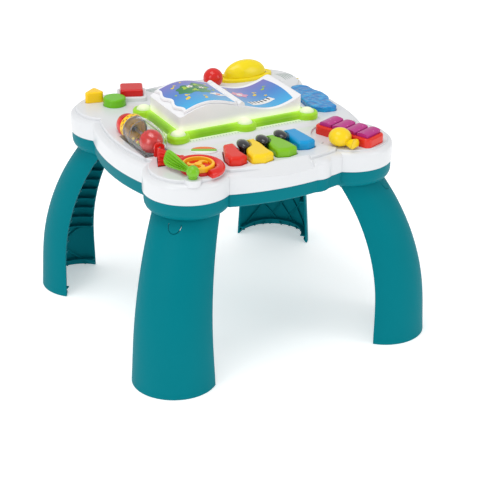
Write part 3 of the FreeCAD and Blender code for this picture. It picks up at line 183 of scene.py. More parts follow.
cell_sleeve = moulded_plastic("cell_sleeve", (0.05, 0.16, 0.3), 0.3, grain=0.02, shine=0.5)
cell_tree = cell_sleeve.node_tree
cell_bands = cell_tree.nodes.new("ShaderNodeTexWave")
cell_bands.inputs["Scale"].default_value = 9.0
cell_bands.inputs["Distortion"].default_value = 0.0
cell_place = cell_tree.nodes.new("ShaderNodeTexCoord")
cell_mix = cell_tree.nodes.new("ShaderNodeMix")
cell_mix.data_type = "RGBA"
cell_mix.inputs["A"].default_value = (0.03, 0.1, 0.22, 1)
cell_mix.inputs["B"].default_value = (0.75, 0.77, 0.8, 1)
cell_step = cell_tree.nodes.new("ShaderNodeMath")
cell_step.operation = "GREATER_THAN"
cell_step.inputs[1].default_value = 0.8
cell_tree.links.new(cell_place.outputs["Object"], cell_bands.inputs["Vector"])
cell_tree.links.new(cell_bands.outputs["Fac"], cell_step.inputs[0])
cell_tree.links.new(cell_step.outputs["Value"], cell_mix.inputs["Factor"])
cell_tree.links.new(cell_mix.outputs["Result"], cell_tree.nodes["Principled BSDF"].inputs["Base Color"])
dress(["battery_cells"], cell_sleeve)

board_green = moulded_plastic("board_green", (0.01, 0.12, 0.03), 0.32, grain=0.02, shine=0.3)
board_tree = board_green.node_tree
tracks = board_tree.nodes.new("ShaderNodeTexBrick")
tracks.inputs["Scale"].default_value = 90.0
tracks.inputs["Color1"].default_value = (0.01, 0.11, 0.03, 1)
tracks.inputs["Color2"].default_value = (0.012, 0.14, 0.04, 1)
tracks.inputs["Mortar"].default_value = (0.05, 0.26, 0.06, 1)
tracks.inputs["Mortar Size"].default_value = 0.035
board_place = board_tree.nodes.new("ShaderNodeTexCoord")
board_tree.links.new(board_place.outputs["Object"], tracks.inputs["Vector"])
board_tree.links.new(tracks.outputs["Color"], board_tree.nodes["Principled BSDF"].inputs["Base Color"])
dress(["main_board", "key_board", "button_board", "side_boards"], board_green)

grey_rubber = moulded_plastic("grey_rubber", (0.11, 0.11, 0.115), 0.75, grain=0.3,
                              grain_scale=1800.0, shine=0.0)
dress(["key_contacts", "button_contacts", "pad_contact_strip"], grey_rubber)
cone_paper = moulded_plastic("cone_paper", (0.03, 0.03, 0.032), 0.85, grain=0.8, grain_scale=2200.0,
                             shine=0.0, mottle=0.3)
dress(["speaker_cone"], cone_paper)
magnet_grey = moulded_plastic("magnet_grey", (0.07, 0.07, 0.075), 0.55, grain=0.3, shine=0.0, mottle=0.1)
dress(["speaker_magnet"], magnet_grey)

# The upper housing is the white tray that everything is mounted on, glossy ABS with a rounded rim.
# Round the light ring the white top is painted with a little of the lamps' yellow-green light, as a glow in
# its emission.

tray_white = moulded_plastic("tray_white", (0.72, 0.735, 0.755), 0.28, grain=0.03,
                             shine=0.2, mottle=0.008, gloss=0.4)


def glow_mask(tree, half_x, half_y, middle_y, reach):
    """1 inside a rectangle seen from above, falling to 0 at the reach outside it, in metres.

    Also gives the height and the maths step, for the caller to go on with.
    """
    place = tree.nodes.new("ShaderNodeTexCoord")
    split = tree.nodes.new("ShaderNodeSeparateXYZ")
    tree.links.new(place.outputs["Object"], split.inputs["Vector"])

    def step(operation, first, second):
        node = tree.nodes.new("ShaderNodeMath")
        node.operation = operation
        for socket, value in ((node.inputs[0], first), (node.inputs[1], second)):
            if isinstance(value, float):
                socket.default_value = value
            else:
                tree.links.new(value, socket)
        return node.outputs["Value"]

    past_x = step("SUBTRACT", step("ABSOLUTE", split.outputs["X"], 0.0), half_x)
    past_y = step("SUBTRACT", step("ABSOLUTE", step("SUBTRACT", split.outputs["Y"], middle_y), 0.0), half_y)
    past = step("MAXIMUM", step("MAXIMUM", past_x, past_y), 0.0)
    share = step("SUBTRACT", 1.0, step("MINIMUM", step("DIVIDE", past, reach), 1.0))
    return step("POWER", share, 2.0), split.outputs["Z"], step


# Painted light: a yellow-green emission on the tray's top near the ring stands in for the spill of the lamps.
tray_tree = tray_white.node_tree
ring_middle_y = 0.009
glow_floor = 0.2835
tray_near, tray_z, tray_step = glow_mask(tray_tree, 0.104, 0.061, ring_middle_y, 0.012)
tray_high = tray_step("GREATER_THAN", tray_z, glow_floor)
tray_glow = tray_step("MULTIPLY", tray_step("MULTIPLY", tray_near, tray_high), 0.3)
tray_shader = tray_tree.nodes["Principled BSDF"]
tray_shader.inputs["Emission Color"].default_value = (0.75, 1.0, 0.12, 1)
tray_tree.links.new(tray_glow, tray_shader.inputs["Emission Strength"])
dress(["upper_housing"], tray_white)

# Small raised marks run round the light ring on the white border: bars, dots, hooks and triangles.
# They are grey, stand up by half a millimetre and follow one another in a plain rhythm.

mark_grey = moulded_plastic("mark_grey", (0.5, 0.52, 0.56), 0.35, grain=0.02)


def mounted(name, mesh, look, body):
    """The mesh as a piece of one material that rides on a body."""
    mesh.materials.append(look)
    piece = bpy.data.objects.new(name, mesh)
    bpy.context.scene.collection.objects.link(piece)
    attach(piece, body)
    return piece


def join_blocks(name, blocks, look, body):
    """One object from closed prisms, each given as an outline in metres, a low z and a high z."""
    verts = []
    faces = []
    for outline, low, high in blocks:
        start = len(verts)
        count = len(outline)
        verts += [(x, y, low) for x, y in outline] + [(x, y, high) for x, y in outline]
        faces.append([start + i for i in reversed(range(count))])
        faces.append([start + count + i for i in range(count)])
        for i in range(count):
            j = (i + 1) % count
            faces.append([start + i, start + j, start + count + j, start + count + i])
    mesh = bpy.data.meshes.new(name)
    mesh.from_pydata(verts, [], faces)
    mounted(name, mesh, look, body)


def turned(points, place, turn):
    """An outline turned about its own origin and moved to a place."""
    cosine = math.cos(turn)
    sine = math.sin(turn)
    return [(place[0] + x * cosine - y * sine, place[1] + x * sine + y * cosine) for x, y in points]


def oval(half_x, half_y, count=16):
    return [(half_x * math.cos(2 * math.pi * i / count), half_y * math.sin(2 * math.pi * i / count))
            for i in range(count)]


def bar(half_x, half_y):
    return [(-half_x, -half_y), (half_x, -half_y), (half_x, half_y), (-half_x, half_y)]


def hook(size):
    return [(-size, -size), (size, -size), (size, -size * 0.5), (-size * 0.5, -size * 0.5),
            (-size * 0.5, size), (-size, size)]


mark_shapes = [bar(0.0004, 0.0017), oval(0.0011, 0.0011, 10), hook(0.0014), bar(0.0014, 0.0004),
               [(-0.0014, -0.0012), (0.0014, -0.0012), (0, 0.0015)]]
marks = []
border_x = 0.1092
border_y = 0.0663
mark_pitch = 0.0045
mark_foot = 0.2888
mark_top = 0.28935
middle_lamp_x = 0.002
middle_lamp_room = 0.016
mark_places = []
for i in range(39):
    x = -0.086 + i * mark_pitch
    mark_places.append((x, ring_middle_y - border_y, 0.0))
    mark_places.append((x, ring_middle_y + border_y, math.pi))
for i in range(19):
    y = ring_middle_y - 0.0405 + i * mark_pitch
    mark_places.append((-border_x, y, -math.pi / 2))
    mark_places.append((border_x, y, math.pi / 2))
for index, (x, y, turn) in enumerate(mark_places):
    if abs(x - middle_lamp_x) < middle_lamp_room and abs(y - ring_middle_y) > 0.05:
        continue
    shape = mark_shapes[(index // 2 * 3 + index) % len(mark_shapes)]
    marks.append((turned(shape, (x, y), turn + 0.12 * math.sin(index)), mark_foot, mark_top))
join_blocks("border_marks", marks, mark_grey, "table")

# The light ring is a lime green frame that lies on the island round the book and carries six lamps
# under frosted domes. It passes light, so it is brightest beside the lamps and along the book's foot.

ring_lime = moulded_plastic("ring_lime", (0.2, 0.5, 0.006), 0.3, grain=0.03, edge=0.0015)
ring_tree = ring_lime.node_tree
ring_place = ring_tree.nodes.new("ShaderNodeTexCoord")
lamp_places = [(x, y) for y in (-0.0465, 0.0645) for x in (-0.099, middle_lamp_x, 0.099)]
ring_top = 0.2985
dome_middle = 0.300


def lamp_distance(tree, place, height):
    """Distance from the surface to the nearest lamp, in metres."""
    nearest = None
    for x, y in lamp_places:
        measure = tree.nodes.new("ShaderNodeVectorMath")
        measure.operation = "DISTANCE"
        measure.inputs[1].default_value = (x, y, height)
        tree.links.new(place.outputs["Object"], measure.inputs[0])
        if nearest is None:
            nearest = measure.outputs["Value"]
            continue
        lesser = tree.nodes.new("ShaderNodeMath")
        lesser.operation = "MINIMUM"
        tree.links.new(nearest, lesser.inputs[0])
        tree.links.new(measure.outputs["Value"], lesser.inputs[1])
        nearest = lesser.outputs["Value"]
    return nearest


def faded(tree, value, near_value, far_value, strength):
    """Falls from the strength to 0 as the value goes from near to far, smoothly."""
    fade = tree.nodes.new("ShaderNodeMapRange")
    fade.interpolation_type = "SMOOTHSTEP"
    fade.inputs["From Min"].default_value = near_value
    fade.inputs["From Max"].default_value = far_value
    fade.inputs["To Min"].default_value = strength
    fade.inputs["To Max"].default_value = 0.0
    tree.links.new(value, fade.inputs["Value"])
    return fade.outputs["Result"]


ring_lamp_light = faded(ring_tree, lamp_distance(ring_tree, ring_place, ring_top), 0.010, 0.034, 0.22)
ring_near, _, ring_step = glow_mask(ring_tree, 0.094, 0.050, 0.008, 0.011)
ring_light = ring_step("ADD", ring_lamp_light, ring_step("MULTIPLY", ring_near, 0.22))
ring_shader = ring_tree.nodes["Principled BSDF"]
ring_shader.inputs["Emission Color"].default_value = (0.72, 1.0, 0.05, 1)
ring_tree.links.new(ring_step("ADD", ring_light, 0.01), ring_shader.inputs["Emission Strength"])
dress(["light_ring"], ring_lime)

dome_frost = moulded_plastic("dome_frost", (0.7, 0.82, 0.5), 0.3, grain=0.25, grain_scale=700.0, shine=0.3)
dome_tree = dome_frost.node_tree
dome_place = dome_tree.nodes.new("ShaderNodeTexCoord")
dome_light = faded(dome_tree, lamp_distance(dome_tree, dome_place, dome_middle), 0.002, 0.0125, 0.3)
dome_shader = dome_tree.nodes["Principled BSDF"]
dome_shader.inputs["Emission Color"].default_value = (0.95, 1.0, 0.78, 1)
dome_tree.links.new(dome_light, dome_shader.inputs["Emission Strength"])
dress(["light_domes"], dome_frost)

# The book is a white moulding, humped on the left and dished on the right, lit yellow-green at its foot.
# Its printed pages are thin labels laid on the curve, with plain motifs: bushes, blossoms, notes, bars.
# Each label lies a few hundredths of a millimetre over the one before it.

book_white = moulded_plastic("book_white", (0.86, 0.86, 0.88), 0.3, grain=0.03, shine=0.35, mottle=0.008)
book_tree = book_white.node_tree
book_place = book_tree.nodes.new("ShaderNodeTexCoord")
book_split = book_tree.nodes.new("ShaderNodeSeparateXYZ")
book_tree.links.new(book_place.outputs["Object"], book_split.inputs["Vector"])
book_shader = book_tree.nodes["Principled BSDF"]
book_shader.inputs["Emission Color"].default_value = (0.86, 1.0, 0.3, 1)
book_foot = 0.2975
book_glow_end = 0.312
book_glow = faded(book_tree, book_split.outputs["Z"], book_foot, book_glow_end, 0.34)
book_tree.links.new(book_glow, book_shader.inputs["Emission Strength"])
dress(["book_housing", "turning_page"], book_white)

hinge_height = 0.321
page_reach = 0.090
page_middle = 0.008
swell_height = 0.011
page_half_thick = 0.0015
leaf_drop = 0.0020
left_half = 0.047
right_half = 0.048
spine_edge = 0.0075
scallop = 0.0022


def page_swell(x):
    """How far the page bulges at a distance from the spine."""
    share = min(1.0, abs(x) / page_reach)
    return swell_height * math.sin(math.pi * share ** 1.15)


def over_page(x):
    return hinge_height + page_swell(x) + page_half_thick


def under_page(x):
    return hinge_height + page_swell(x) - page_half_thick


def left_leaf(x):
    return hinge_height + page_swell(x) - leaf_drop


def right_leaf(x):
    return hinge_height - page_swell(x) - leaf_drop


def lay_print(name, outlines, surface, lift, look, body):
    """Thin labels cut to the outlines and laid on a surface given as height over x."""
    patch = bmesh.new()
    for outline in outlines:
        patch.faces.new([patch.verts.new((x, y, 0)) for x, y in outline])
    low = min(vert.co.x for vert in patch.verts)
    high = max(vert.co.x for vert in patch.verts)
    strip = 0.003
    bmesh.ops.triangulate(patch, faces=patch.faces[:])
    for i in range(1, int((high - low) / strip) + 1):
        bmesh.ops.bisect_plane(patch, geom=patch.verts[:] + patch.edges[:] + patch.faces[:],
                               plane_co=(low + i * strip, 0, 0), plane_no=(1, 0, 0), dist=1e-7)
    for vert in patch.verts:
        vert.co.z = surface(vert.co.x) + lift
    bmesh.ops.recalc_face_normals(patch, faces=patch.faces[:])
    for face in patch.faces:
        if (face.normal.z < 0) == (lift > 0):
            face.normal_flip()
    mesh = bpy.data.meshes.new(name)
    patch.to_mesh(mesh)
    patch.free()
    mesh.shade_smooth()
    mounted(name, mesh, look, body)


def printed_ink(name, back_colour, middle_colour, front_colour):
    """Print under a clear film, shading from the back of the page to the front."""
    look = moulded_plastic(name, middle_colour, 0.22, grain=0.02, shine=0.4)
    tree = look.node_tree
    place = tree.nodes.new("ShaderNodeTexCoord")
    split = tree.nodes.new("ShaderNodeSeparateXYZ")
    ripple = tree.nodes.new("ShaderNodeTexNoise")
    ripple.inputs["Scale"].default_value = 30.0
    wave = tree.nodes.new("ShaderNodeMath")
    wave.operation = "MULTIPLY_ADD"
    wave.inputs[1].default_value = 0.02
    span = tree.nodes.new("ShaderNodeMapRange")
    span.inputs["From Min"].default_value = page_middle + 0.056
    span.inputs["From Max"].default_value = page_middle - 0.030
    ramp = tree.nodes.new("ShaderNodeValToRGB")
    ramp.color_ramp.elements[0].color = back_colour + (1,)
    ramp.color_ramp.elements[1].color = front_colour + (1,)
    ramp.color_ramp.elements.new(0.5).color = middle_colour + (1,)
    tree.links.new(place.outputs["Object"], split.inputs["Vector"])
    tree.links.new(place.outputs["Object"], ripple.inputs["Vector"])
    tree.links.new(ripple.outputs["Fac"], wave.inputs[0])
    tree.links.new(split.outputs["Y"], wave.inputs[2])
    tree.links.new(wave.outputs["Value"], span.inputs["Value"])
    tree.links.new(span.outputs["Result"], ramp.inputs["Fac"])
    tree.links.new(ramp.outputs["Color"], tree.nodes["Principled BSDF"].inputs["Base Color"])
    return look


sky_print = printed_ink("sky_print", (0.2, 0.17, 0.5), (0.05, 0.22, 0.6), (0.03, 0.4, 0.75))
leaf_print = printed_ink("leaf_print", (0.01, 0.13, 0.03), (0.01, 0.22, 0.05), (0.02, 0.33, 0.09))
sun_print = moulded_plastic("sun_print", (0.85, 0.62, 0.01), 0.22, grain=0.02)
lime_print = moulded_plastic("lime_print", (0.35, 0.55, 0.03), 0.22, grain=0.02)
paper_print = moulded_plastic("paper_print", (0.85, 0.85, 0.83), 0.22, grain=0.02)
rose_print = moulded_plastic("rose_print", (0.75, 0.3, 0.45), 0.22, grain=0.02)
red_print = moulded_plastic("red_print", (0.68, 0.06, 0.03), 0.22, grain=0.02)
ink_print = moulded_plastic("ink_print", (0.01, 0.01, 0.015), 0.25, grain=0.02)


def left_sheet(margin):
    """The left page's printed field: straight at the spine, scalloped like the page at the outer edge."""
    points = []
    steps = 30
    for i in range(steps + 1):
        y = page_middle + left_half - margin - i / steps * (2 * left_half - 2 * margin)
        wave = math.sin(2 * math.pi * 2.5 * (page_middle + left_half - y) / (2 * left_half))
        points.append((-page_reach + 0.0035 + margin + scallop * wave, y))
    return points + [(-spine_edge, page_middle - left_half + margin),
                     (-spine_edge, page_middle + left_half - margin)]


def right_sheet(margin):
    """The right page's printed field, with a bowed outer edge."""
    points = [(spine_edge, page_middle - right_half + margin)]
    steps = 24
    for i in range(steps + 1):
        share = i / steps
        y = page_middle - right_half + margin + share * (2 * right_half - 2 * margin)
        points.append((0.091 - margin - 0.004 * (2 * share - 1) ** 2, y))
    return points + [(spine_edge, page_middle + right_half - margin)]


def lobed(place, radius, bumps, depth, turn=0.0, squash=1.0, count=60):
    """A rounded blossom or bush outline."""
    points = []
    for i in range(count):
        angle = 2 * math.pi * i / count
        reach = radius * (1 + depth * math.cos(bumps * angle + turn))
        points.append((place[0] + reach * math.cos(angle), place[1] + squash * reach * math.sin(angle)))
    return points


def note(place, size, turn=0.0):
    """An oval head and a stem with a slanted flag."""
    head = turned(oval(size, size * 0.72), (0, 0), 0.4)
    stem = [(size * 0.62, 0), (size * 0.92, 0), (size * 0.92, size * 3.2), (size * 0.62, size * 3.2)]
    flag = [(size * 0.92, size * 3.2), (size * 0.92, size * 2.4),
            (size * 2.0, size * 1.7), (size * 2.1, size * 2.2)]
    return [turned(part, place, turn) for part in (head, stem, flag)]


def star(place, size, turn=0.0):
    """A five-pointed star outline."""
    points = []
    for i in range(10):
        reach = size if i % 2 == 0 else size * 0.45
        points.append((reach * math.cos(math.pi * i / 5), reach * math.sin(math.pi * i / 5)))
    return turned(points, place, turn)


left_margin = 0.0034
left_ground, left_first, left_second, left_third, left_fourth = 0.00005, 0.0001, 0.00014, 0.00017, 0.0002
lay_print("left_picture", [left_sheet(left_margin)], over_page, left_ground, sky_print, "page")
lay_print("left_bush", [lobed((-0.052, 0.018), 0.0165, 7, 0.1, 0.4, 0.95),
                        lobed((-0.031, 0.029), 0.0135, 6, 0.12, 1.0, 0.9),
                        lobed((-0.034, 0.009), 0.0115, 6, 0.12, 0.2, 0.9)],
          over_page, left_first, leaf_print, "page")
lay_print("left_leaves", [lobed((-0.054, 0.024), 0.0045, 3, 0.35, 0.6),
                          lobed((-0.034, 0.033), 0.004, 3, 0.35, 1.7),
                          lobed((-0.044, 0.012), 0.0042, 3, 0.35, 2.5),
                          lobed((-0.024, 0.022), 0.003, 3, 0.35, 0.2)],
          over_page, left_second, lime_print, "page")
lay_print("left_blossoms", [lobed((-0.046, 0.027), 0.0042, 5, 0.25),
                            lobed((-0.031, 0.021), 0.0036, 5, 0.25, 0.9),
                            lobed((-0.019, -0.006), 0.0105, 4, 0.16, 0.5, 0.62)],
          over_page, left_third, paper_print, "page")
lay_print("left_kite", [turned([(-0.006, 0), (0, -0.0028), (0.0065, 0), (0, 0.0028)], (-0.019, -0.006), 0.5),
                        lobed((-0.046, 0.027), 0.0014, 5, 0.1), lobed((-0.031, 0.021), 0.0012, 5, 0.1)],
          over_page, left_fourth, red_print, "page")
left_notes = note((-0.066, -0.010), 0.0042, 0.15) + note((-0.068, 0.036), 0.0026, -0.3)
left_notes += note((-0.044, -0.022), 0.003, 0.3)
lay_print("left_notes", left_notes + [star((-0.016, 0.040), 0.003, 0.3), star((-0.052, 0.046), 0.0024)],
          over_page, left_third, sun_print, "page")
lay_print("left_lime_notes", note((-0.017, 0.012), 0.0026, 0.1) + [star((-0.074, 0.012), 0.0026, 0.9)],
          over_page, left_third, lime_print, "page")

right_ground, right_first, right_second = 0.00008, 0.00016, 0.00024
petal_place = (0.028, 0.020)
bars_place = (0.044, -0.014)
bars_turn = 0.28
lay_print("right_picture", [right_sheet(0.0045)], right_leaf, right_ground, sky_print, "table")
lay_print("right_petals", [lobed(petal_place, 0.0115, 6, 0.2, 0.3, 0.85)],
          right_leaf, right_first, rose_print, "table")
lay_print("right_petal_middle", [lobed(petal_place, 0.0042, 6, 0.1)],
          right_leaf, right_second, paper_print, "table")
lay_print("right_bars", [turned(bar(0.021, 0.0068), bars_place, bars_turn)],
          right_leaf, right_first, paper_print, "table")
dark_bars = []
for i in range(6):
    along = -0.0165 + i * 0.0066
    dark_bar = [(along - 0.0013, -0.001), (along + 0.0013, -0.001),
                (along + 0.0013, 0.0066), (along - 0.0013, 0.0066)]
    dark_bars.append(turned(dark_bar, bars_place, bars_turn))
lay_print("right_dark_bars", dark_bars, right_leaf, right_second, ink_print, "table")
right_stars = [star((0.062, 0.006), 0.003, 0.4), star((0.016, 0.040), 0.0026)]
lay_print("right_notes", note((0.050, 0.016), 0.0034, 0.1) + right_stars,
          right_leaf, right_second, sun_print, "table")
lay_print("right_lime_notes", note((0.068, 0.026), 0.0028, -0.2),
          right_leaf, right_second, lime_print, "table")

# The turning page carries another picture on its second side, and the book has one under the page.
# Both are thin labels like the others, in a simpler layout, and show only while the page is turned.

hidden_ground, hidden_first, hidden_second = 0.00008, 0.00014, 0.0002
lay_print("second_picture", [left_sheet(left_margin)], under_page, -hidden_ground, sky_print, "page")
lay_print("second_bush", [lobed((-0.056, -0.012), 0.014, 8, 0.1, 0.4, 0.8),
                          lobed((-0.034, -0.016), 0.011, 6, 0.1, 1.0, 0.8)],
          under_page, -hidden_first, leaf_print, "page")
second_notes = note((-0.030, 0.018), 0.004, 0.2) + note((-0.062, 0.022), 0.003, 0.0)
lay_print("second_notes", second_notes + [star((-0.046, 0.034), 0.003)],
          under_page, -hidden_second, sun_print, "page")
lay_print("hidden_picture", [left_sheet(left_margin)], left_leaf, hidden_ground, sky_print, "table")
lay_print("hidden_sun", [lobed((-0.046, 0.014), 0.014, 12, 0.1)], left_leaf, hidden_first, sun_print, "table")
lay_print("hidden_hills", [lobed((-0.062, -0.022), 0.012, 3, 0.08, 0.0, 0.6),
                           lobed((-0.036, -0.024), 0.014, 3, 0.08, 0.5, 0.5)],
          left_leaf, hidden_first, leaf_print, "table")

# Piano keys: four coloured petals and three black pebbles, moulded in glossy plastic.
# Each tilts on one steel rod under the deck and presses a rubber contact.

key_red = moulded_plastic("key_red", (0.72, 0.02, 0.006), 0.2, edge=0.0022)
key_yellow = moulded_plastic("key_yellow", (0.9, 0.62, 0.006), 0.2, edge=0.0022)
key_green = moulded_plastic("key_green", (0.2, 0.5, 0.006), 0.2, edge=0.0022)
key_blue = moulded_plastic("key_blue", (0.0, 0.3, 0.64), 0.2, edge=0.0022)
key_black = moulded_plastic("key_black", (0.012, 0.012, 0.015), 0.14, shine=0.8)
dress(["red_key"], key_red)
dress(["yellow_key"], key_yellow)
dress(["green_key"], key_green)
dress(["blue_key"], key_blue)
dress(["left_black_key", "middle_black_key", "right_black_key"], key_black)

# Left lobe: a yellow triangle, a green round and a red square button, each a glossy moulding.
# A flange under the deck keeps it in, and it presses on a rubber dome.

button_red = moulded_plastic("button_red", (0.62, 0.008, 0.008), 0.24, grain=0.04)
button_yellow = moulded_plastic("button_yellow", (0.96, 0.6, 0.006), 0.26, grain=0.04)
button_green = moulded_plastic("button_green", (0.15, 0.5, 0.006), 0.24, grain=0.04)
dress(["square_button"], button_red)
dress(["triangle_button"], button_yellow)
dress(["round_button"], button_green)

# The roller is a clear barrel with a red ball and loose beads inside, between two red caps.
# A yellow band with dark marks closes its far end, and grey rims hold the clear shell.

clear_shell = moulded_plastic("clear_shell", (0.98, 0.99, 1.0), 0.05, grain=0.0, shine=0.6, mottle=0.0)
clear_shader = clear_shell.node_tree.nodes["Principled BSDF"]
clear_shader.inputs["Transmission Weight"].default_value = 1.0
clear_shader.inputs["IOR"].default_value = 1.12
dress(["roller_drum"], clear_shell)
cap_red = moulded_plastic("cap_red", (0.68, 0.012, 0.008), 0.18, shine=0.3)
dress(["roller_far_cap", "roller_near_cap", "roller_inner_ball"], cap_red)
dress(["roller_band"], button_yellow)

roller_x = -0.141
roller_z = 0.297
band_radius = 0.01806
bead_radius = 0.0023
rim_grey = moulded_plastic("rim_grey", (0.3, 0.31, 0.33), 0.18, shine=0.6)


def turned_ring(name, y, radius, tube, look, body):
    """A round-section ring about the roller's axis."""
    verts = []
    faces = []
    around = 72
    across = 12
    for i in range(around):
        for j in range(across):
            reach = radius + tube * math.cos(2 * math.pi * j / across)
            verts.append((roller_x + reach * math.cos(2 * math.pi * i / around),
                          y + tube * math.sin(2 * math.pi * j / across),
                          roller_z + reach * math.sin(2 * math.pi * i / around)))
            after = (i + 1) % around
            beside = (j + 1) % across
            faces.append([i * across + j, i * across + beside, after * across + beside, after * across + j])
    mesh = bpy.data.meshes.new(name)
    mesh.from_pydata(verts, [], faces)
    mesh.shade_smooth()
    mounted(name, mesh, look, body)


turned_ring("far_rim", y=-0.0004, radius=0.0178, tube=0.0007, look=rim_grey, body="roller")
turned_ring("middle_rim", y=-0.0250, radius=0.0203, tube=0.0005, look=rim_grey, body="roller")

marks_around = 14
mark_verts = []
mark_faces = []
for i in range(marks_around):
    for j, y in enumerate((0.0028, 0.0066)):
        spin = 2 * math.pi * i / marks_around + 0.22 * j
        half = 0.0011 if (i + j) % 3 else 0.0017
        x = roller_x + band_radius * math.cos(spin)
        z = roller_z + band_radius * math.sin(spin)
        start = len(mark_verts)
        for lift in (-0.0003, 0.00012):
            for along, across in ((-half, -0.001), (half, -0.001), (half, 0.001), (-half, 0.001)):
                mark_verts.append((x + lift * math.cos(spin) - along * math.sin(spin), y + across,
                                   z + lift * math.sin(spin) + along * math.cos(spin)))
        for face in ((3, 2, 1, 0), (4, 5, 6, 7), (0, 1, 5, 4), (1, 2, 6, 5), (2, 3, 7, 6), (3, 0, 4, 7)):
            mark_faces.append([start + corner for corner in face])
band_mesh = bpy.data.meshes.new("band_marks")
band_mesh.from_pydata(mark_verts, [], mark_faces)
mounted("band_marks", band_mesh, moulded_plastic("band_ink", (0.35, 0.1, 0.01), 0.3), "roller")

bead_looks = [key_yellow, key_blue, key_green, key_red, mark_grey]
for i in range(11):
    bead_y = -0.0345 + 0.0029 * i
    side = math.sin(i * 2.3)
    drop = -0.0165 + 0.0032 * abs(side)
    bead_mesh = bpy.data.meshes.new("bead_%d" % i)
    bead_form = bmesh.new()
    bmesh.ops.create_icosphere(bead_form, subdivisions=3, radius=bead_radius)
    for face in bead_form.faces:
        face.smooth = True
    bead_form.to_mesh(bead_mesh)
    bead_form.free()
    bead_mesh.materials.append(bead_looks[i % len(bead_looks)])
    bead = bpy.data.objects.new("bead_%d" % i, bead_mesh)
    bead.location = (roller_x + 0.0065 * side, bead_y, roller_z + drop + 0.0012)
    bpy.context.scene.collection.objects.link(bead)
    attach(bead, "roller")

# Front lobe: a red horn whose coil goes round a spinning disc, and a green leaf-shaped lever.
# The bell is fluted and its lip is scalloped, the disc's well is red under a yellow rim and swirl.
# The lever is one moulding: a ribbed leaf, a ball, a collar and the stem that turns in the deck.

horn_red = moulded_plastic("horn_red", (0.7, 0.015, 0.008), 0.2, shine=0.25)
dress(["horn"], horn_red)
rim_yellow = moulded_plastic("rim_yellow", (0.95, 0.5, 0.01), 0.24)
dress(["disc_rim", "disc_swirl"], rim_yellow)
lever_green = moulded_plastic("lever_green", (0.18, 0.5, 0.008), 0.22, shine=0.3)
lever_foot = Vector((-0.137, -0.169, 0.2965))
lever_aim = Vector((-0.22, 0.975, 0)).normalized()
lever_up = (Vector((0, 0, 1)) + Vector((0.975, 0.22, 0)).normalized() * 0.45).normalized()
lever_side = lever_up.cross(lever_aim).normalized()
# Distance along the leaf, half its thickness, half its height and its rise, in millimetres.
leaf_stations = [(0.0, 3.2, 3.4, 0.0), (8, 3.3, 3.9, 0.1), (16, 3.2, 5.0, 0.3), (24, 3.1, 6.4, 0.8),
                 (32, 3.0, 8.0, 1.3), (40, 2.8, 9.5, 2.0), (47, 2.6, 10.4, 2.7), (52, 2.3, 10.3, 3.4),
                 (55, 1.8, 9.0, 4.0), (57, 1.0, 6.6, 4.6)]
leaf_form = bmesh.new()
leaf_rings = []
leaf_around = 120
for reach, half_thick, half_tall, lift in leaf_stations:
    centre = lever_foot + lever_aim * (reach / 1000) + Vector((0, 0, lift / 1000))
    ring = []
    for i in range(leaf_around):
        angle = 2 * math.pi * i / leaf_around
        rib = 1 + 0.42 * math.cos(5.5 * math.pi * math.cos(angle)) * min(1.0, reach / 20)
        point = centre + lever_up * (half_tall * math.cos(angle) / 1000)
        point += lever_side * (half_thick * rib * math.sin(angle) / 1000)
        ring.append(leaf_form.verts.new(point))
    leaf_rings.append(ring)
for first, second in zip(leaf_rings, leaf_rings[1:]):
    for i in range(leaf_around):
        j = (i + 1) % leaf_around
        leaf_form.faces.new([first[i], first[j], second[j], second[i]])
leaf_form.faces.new(leaf_rings[-1])
leaf_form.faces.new(leaf_rings[0][::-1])
lever_ball = bmesh.ops.create_uvsphere(leaf_form, u_segments=48, v_segments=32, radius=0.0084)
bmesh.ops.translate(leaf_form, verts=lever_ball["verts"], vec=lever_foot)
lever_collar = bmesh.ops.create_cone(leaf_form, cap_ends=True, segments=48,
                                     radius1=0.006, radius2=0.0055, depth=0.0068)
bmesh.ops.translate(leaf_form, verts=lever_collar["verts"], vec=lever_foot - Vector((0, 0, 0.0054)))
lever_stem = bmesh.ops.create_cone(leaf_form, cap_ends=True, segments=32,
                                   radius1=0.003, radius2=0.003, depth=0.0125)
bmesh.ops.translate(leaf_form, verts=lever_stem["verts"], vec=lever_foot - Vector((0, 0, 0.0148)))
bmesh.ops.recalc_face_normals(leaf_form, faces=leaf_form.faces[:])
leaf_mesh = bpy.data.meshes.new("ribbed_lever")
leaf_form.to_mesh(leaf_mesh)
leaf_form.free()
leaf_mesh.shade_smooth()
leaf_mesh.set_sharp_from_angle(angle=math.radians(50))
ribbed_lever = mounted("ribbed_lever", leaf_mesh, lever_green, "lever")
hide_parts("lever")

disc_middle = (-0.1165, -0.1426)
well_radius = 0.0176
well = turned(oval(well_radius, well_radius, 64), disc_middle, 0)
join_blocks("disc_well", [(well, 0.29172, 0.29188)], horn_red, "disc")

bell_mouth = Vector((-0.1519, -0.0966, 0.2885))
bell_neck = Vector((-0.1234, -0.1084, 0.2880))
bell_axis = (bell_mouth - bell_neck).normalized()
bell_side = bell_axis.cross(Vector((0, 0, 1))).normalized()
bell_up = bell_side.cross(bell_axis)
bell_verts = []
bell_faces = []
